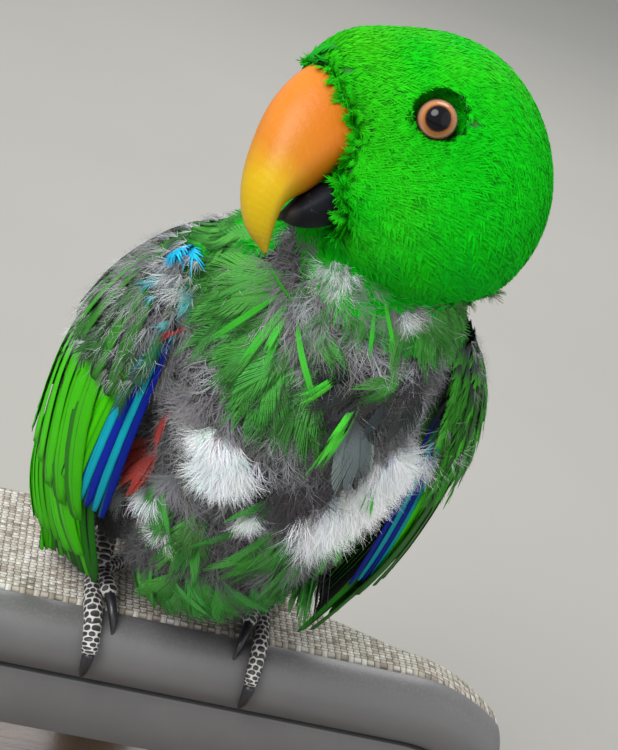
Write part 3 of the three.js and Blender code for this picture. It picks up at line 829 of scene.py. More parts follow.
@dataclass(frozen=True)
class VaneForm:
    """How one feather is built: barbs either side of a shaft, as splittable as in life.

    The lengths are shares of the feather's length, and the widths shares of its half width.
    """

    barbs: int
    steps: int
    outline: tuple[float, ...]
    sweep: float = 0.2
    taper: float = 0.7
    split: float = 0.0
    ragged: float = 0.06
    shaft: float = 0.05
    camber: float = 0.1
    bare: float = 0.03
    joined: bool = False
    seed: int = 1

    def template(self) -> Template:
        """Return the feather as a template."""
        flat, column, faces = strips(self.barbs, 2 * self.steps, self.joined)
        edge = (flat[:, 0] + 0.5 - column) * self.barbs
        shape, chart = self._barbs(column, edge, flat[:, 1] * 2)
        return self._with_shaft(shape, faces, chart)

    def _barbs(self, s: Array, edge: Array, over: Array) -> tuple[Array, Array]:
        """Bend flat columns into barbs.

        Args:
            s: How far along the feather the middle of each point's column is.
            edge: How far each point is from that middle, in shares of a column.
            over: How far across the vane each point is, from -1 to 1.

        Returns:
            The points' places and their map.
        """
        draw = np.random.default_rng(self.seed)
        number = np.clip((s * self.barbs).astype(int), 0, self.barbs - 1) * 2 + (over > 0)
        odd = draw.uniform(-1, 1, 2 * self.barbs)[number]
        odder = draw.uniform(-1, 1, 2 * self.barbs)[number]
        if self.joined:
            odd, odder = np.sin(s * 31 + self.seed + 2 * (over > 0)), np.sin(s * 19 + self.seed)
        r = np.abs(over)
        end = 1.0 if self.joined else 0.9
        start = self.bare
        spacing = (end - start) / self.barbs
        width = 1.3 * (1 - self.taper * r**2)
        half = knots([[w] for w in self.outline], s)[:, 0]
        ahead = self.sweep * (0.65 + 0.9 * s) * r * (1 + 0.35 * r)
        along = start + (end - start) * s + ahead + edge * spacing * width
        along += self.split * odder * r**2 * 0.22 + self.ragged * odd * r * 0.25
        if self.joined:
            along = np.minimum(along, 1.0)
        along = along / max(1.0, float(along.max()))
        across = np.sign(over) * r * half * (1 - self.ragged * np.abs(odd) * 2)
        above = -self.camber * r**2 + self.split * odder * r * 0.12 + edge * 0.015
        chart = np.stack([along, 0.5 + 0.5 * over], 1)
        return np.stack([along, across, above], 1), chart

    def _with_shaft(self, shape: Array, faces: Array, chart: Array) -> Template:
        """Add the shaft, a narrow ridge from root to tip."""
        if self.shaft <= 0:
            return Template(shape, faces, chart)
        flat, along, more = strips(5, 2, joined=True)
        along = along * 0.95
        narrow = 1 - 0.75 * along
        across = flat[:, 1] * 2 * self.shaft * narrow
        above = self.shaft * 0.9 * (1 - np.abs(flat[:, 1]) * 2) * narrow + 0.01
        return Template(
            np.vstack([shape, np.stack([along, across, above], 1)]),
            np.vstack([faces, more + len(shape)]),
            np.vstack([chart, np.stack([along, np.full_like(along, 0.5)], 1)]),
        )


@dataclass(frozen=True)
class TuftForm:
    """A tuft of loose down: strands that fan out from one root and curl over."""

    strands: int
    steps: int
    spread: float = 1.0
    rise: float = 0.7
    curl: float = 0.5
    width: float = 0.045
    seed: int = 1

    def template(self) -> Template:
        """Return the tuft as a template, with widths and heights as shares of its length."""
        flat, column, faces = strips(self.strands, self.steps)
        edge = (flat[:, 0] + 0.5 - column) * self.strands
        t = flat[:, 1] + 0.5
        number = np.clip((column * self.strands).astype(int), 0, self.strands - 1)
        draw = np.random.default_rng(self.seed)
        aim = (draw.uniform(-1, 1, self.strands) * self.spread)[number]
        pitch = (draw.uniform(0.15, 1.0, self.strands) * self.rise)[number]
        reach = draw.uniform(0.65, 1.0, self.strands)[number]
        sway = (draw.uniform(-1, 1, self.strands) * self.curl)[number]
        turn = aim + sway * t * t
        lift = pitch * (1 - 0.55 * t)
        along = reach * t * np.cos(turn) * np.cos(lift)
        across = reach * t * np.sin(turn)
        above = reach * t * np.sin(lift)
        wide = self.width * (1.15 - t) * edge
        shape = np.stack([along - wide * np.sin(turn), across + wide * np.cos(turn), above], 1)
        shape[:, 0] = np.clip(shape[:, 0], -0.2, 1.0)
        return Template(shape, faces, np.stack([t, np.full_like(t, 0.5)], 1))


@dataclass
class Lie:
    """Where feathers of one kind lie: their spines and what stands up from them."""

    spines: Array
    normals: Array
    half: Array
    roll: Array
    plume: Array
    rim: Array
    chart: Array

    def picked(self, mine: slice | Array) -> Lie:
        """Return some of the feathers."""
        return Lie(*(getattr(self, name)[mine] for name in Lie.__dataclass_fields__))


@dataclass
class Cloud:
    """Many feathers gathered into one mesh."""

    name: str
    points: list[Array] = field(default_factory=list)
    faces: list[Array] = field(default_factory=list)
    vane: list[Array] = field(default_factory=list)
    bake: list[Array] = field(default_factory=list)
    plume: list[Array] = field(default_factory=list)
    rim: list[Array] = field(default_factory=list)
    count: int = 0

    PATCH = 0.003

    def add(self, template: Template, lie: Lie, patch: float | Array = PATCH,
            flipped: bool = False) -> None:
        """Lay copies of a template along spines.

        Args:
            template: The feather.
            lie: The spines, surface normals, half widths, rolls, colours and roots' map places.
            patch: How large each copy is in the bake map.
            flipped: Whether the vane's own map runs from its other edge.
        """
        if not len(lie.spines):
            return
        steps = lie.spines.shape[1]
        u, v, h = template.shape.T
        around = 0.02
        weights = knots(np.eye(steps), u)
        slope = knots(np.eye(steps), u + around) - knots(np.eye(steps), u - around)
        middle = np.einsum("vk,pkc->pvc", weights, lie.spines)
        way = unit(np.einsum("vk,pkc->pvc", slope, lie.spines))
        normal = along_surface(np.einsum("vk,pkc->pvc", weights, lie.normals), way)
        side = unit(np.cross(normal, way))
        turn = lie.roll[:, None, None]
        half = lie.half[:, None, None]
        leant = side * np.cos(turn) + normal * np.sin(turn)
        upright = normal * np.cos(turn) - side * np.sin(turn)
        placed = middle + (leant * v[None, :, None] + upright * h[None, :, None]) * half
        many = len(lie.spines)
        size = len(u)
        starts = self.count + np.arange(many) * size
        self.points.append(placed.reshape(-1, 3))
        self.faces.append((template.faces[None] + starts[:, None, None]).reshape(-1, 4))
        chart = np.abs(template.chart - np.array([0.0, float(flipped)]))
        self.vane.append(np.tile(chart, (many, 1)))
        corner = lie.chart[:, None, :] + (template.chart[None] - 0.5) * patch
        self.bake.append(corner.reshape(-1, 2))
        self.plume.append(np.repeat(lie.plume, size, axis=0))
        self.rim.append(np.repeat(lie.rim, size, axis=0))
        self.count += many * size

    def piece(self, shop: Workshop, finish: Finish, slot: str,
              replaces: Sequence[str] = ()) -> bpy.types.Object:
        """Write the gathered feathers as one piece of the model.

        Args:
            shop: What makes pieces of meshes.
            finish: What dresses them.
            slot: Not used.
            replaces: The nodes that they stand for.

        Returns:
            The piece.
        """
        points = shop.metres(np.vstack(self.points))
        faces = np.vstack(self.faces)
        mesh = bpy.data.meshes.new(self.name)
        mesh.vertices.add(len(points))
        mesh.vertices.foreach_set("co", points.astype(np.float32).ravel())
        mesh.loops.add(faces.size)
        mesh.loops.foreach_set("vertex_index", faces.astype(np.int32).ravel())
        mesh.polygons.add(len(faces))
        mesh.polygons.foreach_set("loop_start", np.arange(0, faces.size, 4, dtype=np.int32))
        mesh.update(calc_edges=True)
        corners = faces.ravel()
        for name, rows in (("OFBake", self.bake), ("Vane", self.vane)):
            layer = mesh.uv_layers.new(name=name)
            layer.data.foreach_set("uv", np.vstack(rows)[corners].astype(np.float32).ravel())
        for name, rows in (("plume", self.plume), ("rim", self.rim)):
            colours = np.vstack(rows)
            flat = np.hstack([colours, np.ones((len(colours), 1))]).astype(np.float32)
            mesh.attributes.new(name, "FLOAT_COLOR", "POINT").data.foreach_set("color", flat.ravel())
        return shop.settle(mesh, self.name, finish, replaces)


# The bird's forms


@dataclass(frozen=True)
class TrunkForm:
    """The middle line of trunk and neck, from the tail root to inside the head."""

    rows: tuple[Point, ...] = (
        (2, 52, 14), (2, 34, 36), (2, 14, 60), (3, -8, 87), (4, -26, 115), (7, -41, 143), (11, -53, 170),
    )
    samples: int = 140

    def line(self) -> tuple[Array, Array, Array]:
        """Return t, the centre line's points and the way towards the head at each."""
        t = np.linspace(0, 1, self.samples)
        points = knots(self.rows, t)
        way = unit(np.gradient(points, axis=0))
        return t, points, way

    def locate(self, points: Array) -> tuple[Array, Array, Array]:
        """Find points against the trunk.

        Args:
            points: Places in millimetres.

        Returns:
            Their t along the trunk, their angle from the back round the side, and the way there.
        """
        t, line, way = self.line()
        nearest = np.argmin(np.linalg.norm(points[:, None] - line[None], axis=2), axis=1)
        here = way[nearest]
        side = unit(np.array([1.0, 0, 0]) - here * here[:, :1])
        up = np.cross(here, side)
        out = points - line[nearest]
        angle = np.arctan2(dot(out, side)[:, 0], dot(out, up)[:, 0])
        return t[nearest], angle, here

    def chart(self, points: Array) -> Array:
        """Return each point's place on an unwrap of the trunk."""
        t, angle, _ = self.locate(points)
        return np.stack([0.02 + 0.96 * (angle / math.tau + 0.5), 0.02 + 0.96 * t], 1)


@dataclass(frozen=True)
class HeadForm:
    """The head in its own forward, side and up: +side is the bird's left."""

    centre: Point = (11, -57, 187)
    half: float = 27.0
    reach: tuple[float, ...] = (30, 38.8, 34.2, 31.2, 30.4, 30.2, 32.2, 36.2, 38, 35, 34.5, 32)
    ahead: Point = (-0.957, -0.262, -0.127)
    crown: Point = (-0.235, 0.43, 0.872)
    eye: Point = (8.9, 20.6, 5.7)
    fullness: float = 0.88
    narrowing: float = 0.16
    bulk: tuple[float, float] = (33, 35)

    def axes(self) -> Array:
        """Return the forward, side and up vectors as rows."""
        forward = unit(np.array(self.ahead))
        up = np.array(self.crown)
        up = unit(up - forward * float(up @ forward))
        return np.stack([forward, np.cross(up, forward), up])

    def at(self, forward: Array | float, side: Array | float, up: Array | float) -> Array:
        """Return places given in the head's own frame."""
        parts = np.stack(np.broadcast_arrays(forward, side, up), -1).astype(float)
        return np.array(self.centre) + parts @ self.axes()

    def local(self, points: Array) -> Array:
        """Return forward, side and up of each point."""
        return (points - np.array(self.centre)) @ self.axes().T

    def surface(self, ball: Array) -> Array:
        """Return the head's surface for places on a unit ball, given as forward, side, up."""
        f, s, u = ball.T
        turn = (np.arctan2(u, f) / math.tau + 1) % 1
        ring = np.vstack([self.reach, self.reach, self.reach]).reshape(-1, 1)
        count = len(self.reach)
        reach = knots(ring, (turn * count + count) / (len(ring) - 1))[:, 0]
        share = np.hypot(f, u) ** self.fullness * reach
        face = 1 - self.narrowing * np.maximum(0, f)
        angle = turn * math.tau
        return self.at(share * np.cos(angle), s * (self.half * face), share * np.sin(angle))

    def covers(self, points: Array, share: float = 1.0) -> Array:
        """Return which points lie inside the head grown by a share."""
        f, s, u = self.local(points).T
        long, tall = self.bulk
        return (f / long) ** 2 + (s / self.half) ** 2 + (u / tall) ** 2 < share

    def chart(self, points: Array) -> Array:
        """Return each point's place on an unwrap of the head."""
        f, s, u = unit(self.local(points)).T
        return np.stack([0.5 + 0.48 * np.arctan2(s, -f) / math.pi, 0.5 + 0.48 * u], 1)

    def flow(self, points: Array, normals: Array) -> Array:
        """Return the lie of the feathers: back from the bill, then down over nape and cheeks."""
        f, s, u = self.local(points).T
        back = 0.15 + 1.1 * ease(-f, -8, 22) + 1.0 * ease(-u, -4, 24)
        axes = self.axes()
        ways = -axes[0] - back[:, None] * axes[2]
        ways += np.array([0, 0, -0.9]) * ease(-u, 4, 26)[:, None]
        return along_surface(ways, normals)


@dataclass(frozen=True)
class WingForm:
    """A folded wing: u runs from shoulder to tip, v from the leading to the dorsal edge."""

    sign: int
    leading: tuple[Point, ...]
    dorsal: tuple[Point, ...]
    bulge: tuple[float, ...]
    middle: float = 3.0
    arc: float = math.radians(78)
    bulge_way: Point = (1, 0.12, 0)
    lean: float = math.radians(2.5)
    lean_about: float = 100.0
    core_end: float = 0.6

    def _point(self, u: Array, v: Array) -> Array:
        """Return the outer face before it is placed."""
        turn = (2 * v - 1) * self.arc
        over = (0.5 + 0.5 * np.sin(turn) / math.sin(self.arc))[..., None]
        rise = (np.cos(turn) - math.cos(self.arc)) / (1 - math.cos(self.arc))
        swell = knots([[b] for b in self.bulge], u)[..., 0] * rise
        base = bezier(self.leading, u) * (1 - over) + bezier(self.dorsal, u) * over
        return base + np.array(self.bulge_way) * swell[..., None]

    def at(self, u: Array, v: Array, height: Array | float) -> tuple[Array, Array]:
        """Find places on the wing.

        Args:
            u: How far down the wing.
            v: How far across it.
            height: Millimetres above the outer face.

        Returns:
            The places and the outward normals, on the wing's own side of the body.
        """
        step = 0.02
        u, v = np.clip(u, 0, 1), np.asarray(v, float)
        down = self._point(np.minimum(u + step, 1), v) - self._point(np.maximum(u - step, 0), v)
        over = self._point(u, np.minimum(v + step, 1)) - self._point(u, np.maximum(v - step, 0))
        normal = unit(np.cross(over, down))
        normal = normal * np.where(normal[..., :1] < 0, -1, 1)
        point = self._point(u, v) + normal * np.asarray(height)[..., None]
        return self._placed(point, True), self._placed(normal, False)

    def _placed(self, rows: Array, is_point: bool) -> Array:
        """Mirror and lean points or directions from the drawn side to the wing's own."""
        x = self.sign * rows[..., 0] + (self.middle if is_point else 0.0)
        z = rows[..., 2] - (self.lean_about if is_point else 0.0)
        across = x * math.cos(self.lean) + z * math.sin(self.lean)
        up = z * math.cos(self.lean) - x * math.sin(self.lean)
        return np.stack([across, rows[..., 1], up + (self.lean_about if is_point else 0.0)], -1)

    def core(self) -> Mesh:
        """Draw the wing's flesh, a closed plate under the feathers."""
        bm = bmesh.new()
        bmesh.ops.create_grid(bm, x_segments=16, y_segments=14, size=0.5)
        flat = places_of(bm) + 0.5
        u = flat[:, 0] * self.core_end
        outer = -np.interp(u, [0, 0.05, 0.1, 0.2, 0.3, 0.4, 0.5, 0.6], [7, 3.6, 3, 4, 6, 6.5, 9.4, 12])
        inner = -blend(22, 13.4, ease(u, 0.3, 0.6)) + 0.5
        top, _ = self.at(u, flat[:, 1], outer)
        low, _ = self.at(u, flat[:, 1], inner)
        made = bmesh.ops.extrude_face_region(bm, geom=bm.faces[:])
        bm.verts.ensure_lookup_table()
        raised = [g for g in made["geom"] if isinstance(g, bmesh.types.BMVert)]
        for vert in raised:
            nearest = int(np.argmin(np.abs(flat - (np.array(vert.co) + 0.5))[:, :2].sum(1)))
            vert.co = low[nearest]
        for vert, point in zip(bm.verts[: len(flat)], top):
            vert.co = point
        bmesh.ops.recalc_face_normals(bm, faces=bm.faces)
        return bm


# The camera that saw the bird, drawn from the perch's top


@dataclass(frozen=True)
class Lens:
    """The camera at the photograph's viewing angle."""

    place: Point = (-89, -418, 296)
    ahead: Point = (0.2202, 0.8768, -0.4274)
    right: Point = (0.9458, -0.0847, 0.3137)
    focal: float = 1560.0
    frame: tuple[int, int] = (618, 750)
    sensor: float = 36.0

    def axes(self) -> Array:
        """Return the right, up and forward vectors as rows."""
        forward = unit(np.array(self.ahead))
        right = np.array(self.right)
        right = unit(right - forward * float(right @ forward))
        return np.stack([right, np.cross(right, forward), forward])

    def ray(self, pixel: Pixel) -> Array:
        """Return the direction that a pixel of the photograph looks in."""
        right, up, forward = self.axes()
        x = (pixel[0] - self.frame[0] / 2) / self.focal
        y = (self.frame[1] / 2 - pixel[1]) / self.focal
        return unit(forward + right * x + up * y)

    def build(self, shop: Workshop) -> None:
        """Place the scene's camera."""
        data = bpy.data.cameras.new("camera")
        data.sensor_fit = "AUTO"
        data.sensor_width = self.sensor
        data.lens = self.focal / max(self.frame) * self.sensor
        data.clip_start, data.clip_end = 0.01, 50.0
        camera = bpy.data.objects.new("camera", data)
        right, up, forward = self.axes()
        turn = Matrix([[right[k], up[k], -forward[k]] for k in range(3)]).to_4x4()
        camera.matrix_world = Matrix.Translation(shop.metres(np.array(self.place))) @ turn
        bpy.context.scene.collection.objects.link(camera)
        bpy.context.scene.camera = camera


class Ground:
    """A surface in millimetres that feathers are laid on."""

    POINTS = 5

    def __init__(self, bm: Mesh) -> None:
        """Keep a search tree of the mesh and its smooth normals."""
        bm.normal_update()
        bmesh.ops.triangulate(bm, faces=bm.faces[:])
        bm.verts.index_update()
        self.tree = BVHTree.FromBMesh(bm)
        self.points = places_of(bm)
        normals = np.array([v.normal for v in bm.verts])
        self.faces = faces_of(bm)
        self.smooth = unit(normals[self.faces].mean(axis=1))

    def nearest(self, points: Array) -> tuple[Array, Array]:
        """Return the nearest places on the surface and its normals there."""
        found = [self.tree.find_nearest(Vector(p)) for p in points]
        return np.array([f[0] for f in found]), self.smooth[[f[2] for f in found]]

    def distance(self, points: Array) -> Array:
        """Return how far each point is from the surface."""
        return np.array([self.tree.find_nearest(Vector(p))[3] for p in points])

    def seen(self, lens: Lens, pixel: Pixel) -> Array:
        """Return the place on the surface that a pixel shows, or the nearest to its ray."""
        start, way = np.array(lens.place, float), lens.ray(pixel)
        hit = self.tree.ray_cast(Vector(start), Vector(way))
        if hit[0] is not None:
            return np.array(hit[0])
        reach = np.linspace(330, 520, 39)[:, None]
        line = start + way * reach
        best = int(np.argmin(self.distance(line)))
        return self.nearest(line[best : best + 1])[0][0]

    def scatter(self, spacing: float, tries: int, seed: int, keep: Callable[[Array], Array]) -> Array:
        """Spread places over the surface.

        Args:
            spacing: The least distance between two places.
            tries: How many places are drawn before the close ones go.
            seed: What the draw starts from.
            keep: Says which places are wanted.

        Returns:
            The places that are left.
        """
        draw = np.random.default_rng(seed)
        corners = self.points[self.faces]
        sides = corners[:, 1:] - corners[:, :1]
        area = np.linalg.norm(np.cross(sides[:, 0], sides[:, 1]), axis=1)
        chosen = draw.choice(len(area), tries, p=area / area.sum())
        a, b = draw.random((2, tries, 1))
        flip = a + b > 1
        a, b = np.where(flip, 1 - a, a), np.where(flip, 1 - b, b)
        c = corners[chosen]
        places = c[:, 0] * (1 - a - b) + c[:, 1] * a + c[:, 2] * b
        places = places[keep(places)]
        taken: dict[tuple[int, int, int], list[Array]] = {}
        kept = []
        for place in places:
            x, y, z = (int(k) for k in np.floor(place / spacing))
            near = [q for i in (-1, 0, 1) for j in (-1, 0, 1) for k in (-1, 0, 1)
                    for q in taken.get((x + i, y + j, z + k), ())]
            if near and np.min(np.sum((np.array(near) - place) ** 2, axis=1)) < spacing**2:
                continue
            taken.setdefault((x, y, z), []).append(place)
            kept.append(place)
        return np.array(kept)

    def lay(self, roots: Array, ways: Array, lengths: Array, sink: float, lift: Array | float,
            stiff: Array | float = 0.0) -> tuple[Array, Array]:
        """Lay spines along the surface.

        Args:
            roots: Where the feathers leave it.
            ways: Which way they lie.
            lengths: How long they are.
            sink: How deep their roots start.
            lift: How high their tips stand.
            stiff: 0 follows the surface, and 1 runs straight on.

        Returns:
            The spines' points and the surface normals at them.
        """
        place, normal = self.nearest(roots)
        way = along_surface(ways, normal)
        free = np.broadcast_to(np.asarray(stiff, float), (len(roots),))[:, None]
        lift = np.broadcast_to(np.asarray(lift, float), (len(roots),))[:, None]
        straight = place.copy()
        spines, normals = [place - normal * sink], [normal]
        last = self.POINTS - 1
        stride = (lengths / last)[:, None]
        for k in range(1, self.POINTS):
            share = k / last
            straight = straight + unit(way + normal * 0.05) * stride
            down, new = self.nearest(straight)
            place = down * (1 - free) + straight * free
            normal = unit(new * (1 - free) + normal * free)
            way = along_surface(way, normal)
            straight = place
            spines.append(place + normal * (lift * share**0.8 - sink * (1 - share) ** 3))
            normals.append(normal)
        return np.stack(spines, 1), np.stack(normals, 1)


def shaded(colour: Colour | Array, count: int, draw: Draw, spread: float = 0.25) -> Array:
    """Return a colour for each feather, a little lighter or darker than the one given."""
    tone = 1 + draw.uniform(-spread, spread, (count, 1))
    hue = 1 + draw.uniform(-spread / 2, spread / 2, (count, 3))
    return np.clip(np.broadcast_to(np.asarray(colour, float), (count, 3)) * tone * hue, 0, 1)


@dataclass
class Skin:
    """The bird's skin, one surface that stands for the nodes of flesh."""

    shop: Workshop
    wings: tuple[WingForm, ...]
    head: HeadForm
    flesh: tuple[str, ...] = ("head", "neck", "torso", "thigh_right", "thigh_left")
    voxel: float = 1.5
    depth: float = 1.8
    smoothing: int = 8
    green_share: float = 1.3
    swells: tuple[tuple[Point, float, float, float], ...] = (
        ((24, 0, 27), 7.0, 2.4, 0.0),
        ((20, 8.5, -11), 4.2, 1.6, 1.6),
        ((20, -8.5, -11), 4.2, 1.6, 1.6),
    )

    def build(self) -> Ground:
        """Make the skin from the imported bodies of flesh, and return it as ground for the coat."""
        bm = bmesh.new()
        for name in self.flesh:
            bm.from_mesh(frame["nodes"][name].data)
        lower = Matrix.Scale(1 / MM, 4) @ Matrix.Translation((0, 0, -self.shop.top * MM))
        bmesh.ops.transform(bm, matrix=lower, verts=bm.verts)
        bmesh.ops.remove_doubles(bm, verts=bm.verts, dist=0.001)
        for wing in self.wings:
            merge(bm, wing.core())
        whole = self._remeshed(bm)
        bmesh.ops.recalc_face_normals(whole, faces=whole.faces)
        every_way = dict.fromkeys(("use_axis_x", "use_axis_y", "use_axis_z"), True)
        for _ in range(self.smoothing):
            bmesh.ops.smooth_vert(whole, verts=whole.verts, factor=0.5, **every_way)
        whole.normal_update()
        for vert in whole.verts:
            vert.co -= vert.normal * self.depth
        self._swell(whole)
        self._mark(whole)
        ground = Ground(whole.copy())
        self.shop.cast(whole, "skin", SkinFinish("skin"), "down", self.flesh)
        return ground

    def _remeshed(self, bm: Mesh) -> Mesh:
        """Return the bodies fused into one even surface."""
        mesh = bpy.data.meshes.new("flesh")
        bm.to_mesh(mesh)
        bm.free()
        body = bpy.data.objects.new("flesh", mesh)
        bpy.context.scene.collection.objects.link(body)
        fuse = body.modifiers.new("fuse", "REMESH")
        fuse.mode = "VOXEL"
        fuse.voxel_size = self.voxel
        graph = bpy.context.evaluated_depsgraph_get()
        fused = bpy.data.meshes.new_from_object(body.evaluated_get(graph))
        whole = bmesh.new()
        whole.from_mesh(fused)
        bpy.data.objects.remove(body)
        bpy.data.meshes.remove(fused)
        return whole

    def _swell(self, bm: Mesh) -> None:
        """Raise the brow over the bill, and the cheeks' edge against the lower bill."""
        for place, size, height, lead in self.swells:
            middle, ahead = self.head.at(*place), self.head.axes()[0] * lead
            for vert in bm.verts:
                share = math.exp(-0.5 * ((vert.co - Vector(middle)).length / size) ** 2)
                if share > 0.02:
                    vert.co += (vert.normal + Vector(ahead)) * (height * share)

    def _mark(self, bm: Mesh) -> None:
        """Mark where the coat over the skin is green, and so where the skin is painted with green shade."""
        green = bm.verts.layers.float.new("green")
        for vert, on_head in zip(bm.verts, self.head.covers(places_of(bm), self.green_share)):
            vert[green] = float(on_head)


# Feather shapes

SCALE_OUTLINE = (0.55, 0.9, 1.0, 0.96, 0.72)
LEAF_OUTLINE = (0.35, 0.8, 1.0, 0.95, 0.62)
STRAP_OUTLINE = (0.5, 0.9, 1.0, 0.9, 0.5)
COVERT_OUTLINE = (0.5, 0.85, 1.0, 1.0, 0.92, 0.66, 0.05)
FLIGHT_OUTLINE = (0.5, 0.85, 1.0, 1.0, 1.0, 0.98, 0.9, 0.66, 0.05)


def variants(form: VaneForm | TuftForm, *seeds: int) -> tuple[VaneForm | TuftForm, ...]:
    """Return a form once for each seed."""
    return tuple(replace(form, seed=seed) for seed in seeds)


class Shape(Enum):
    """The kinds of feather and tuft, each with a few variants."""

    FACE = variants(VaneForm(4, 2, SCALE_OUTLINE, sweep=0.3, taper=0.78, split=0.35, ragged=0.1,
                             shaft=0.0), 11, 12, 13)
    SCALE = variants(VaneForm(9, 2, SCALE_OUTLINE, sweep=0.18, taper=0.75, split=0.3, ragged=0.1),
                     21, 22, 23)
    LOOSE = variants(VaneForm(26, 3, LEAF_OUTLINE, sweep=0.34, taper=0.22, split=0.13, shaft=0.03,
                              bare=0.06), 31, 32, 33, 34)
    FRAYED = variants(VaneForm(24, 3, LEAF_OUTLINE, sweep=0.42, taper=0.72, split=0.45, ragged=0.12,
                               shaft=0.035, bare=0.06), 35, 36, 37)
    STRAP = variants(VaneForm(22, 2, STRAP_OUTLINE, sweep=0.16, taper=0.06, split=0.02, ragged=0.02,
                              shaft=0.06), 41, 42, 43)
    VEIL = variants(VaneForm(30, 3, LEAF_OUTLINE, sweep=0.24, taper=0.18, split=0.06, ragged=0.04,
                             shaft=0.03), 51, 52)
    FLIGHT = variants(VaneForm(30, 3, FLIGHT_OUTLINE, sweep=0.05, taper=0.0, ragged=0.015,
                               camber=0.16, joined=True), 61, 62, 63)
    COVERT = variants(VaneForm(16, 3, COVERT_OUTLINE, sweep=0.06, taper=0.0, ragged=0.03,
                               shaft=0.045, joined=True), 71, 72, 73)
    FLUFF = variants(TuftForm(16, 2, spread=1.3, rise=1.0, curl=0.8, width=0.019), 81, 82, 83, 84)
    PLUME = variants(TuftForm(22, 3, spread=0.55, rise=0.6, curl=0.45, width=0.013),
                     91, 92, 93, 94)

    def templates(self) -> list[Template]:
        """Return this kind's variants."""
        return [form.template() for form in self.value]


def add_mixed(cloud: Cloud, shape: Shape, lie: Lie, patch: float | Array = Cloud.PATCH,
              flipped: bool = False) -> None:
    """Add feathers to a cloud, dealing out a shape's variants in turn.

    Args:
        cloud: What they are added to.
        shape: Their shape.
        lie: Where they lie, and in which colours.
        patch: How large each one is in the bake map.
        flipped: Whether the vanes' own map runs from their other edge.
    """
    templates = shape.templates()
    for k, template in enumerate(templates):
        cloud.add(template, lie.picked(slice(k, None, len(templates))), patch, flipped)


def coat(shop: Workshop, name: str, shape: Shape, lie: Lie, finish: Finish, slot: str) -> None:
    """Make feathers of one shape a piece of their own.

    Args:
        shop: What makes pieces of meshes.
        name: The piece's name.
        shape: The feathers' shape.
        lie: Where they lie, and in which colours.
        finish: What dresses them.
        slot: Not used.
    """
    cloud = Cloud(name)
    add_mixed(cloud, shape, lie)
    cloud.piece(shop, finish, slot)


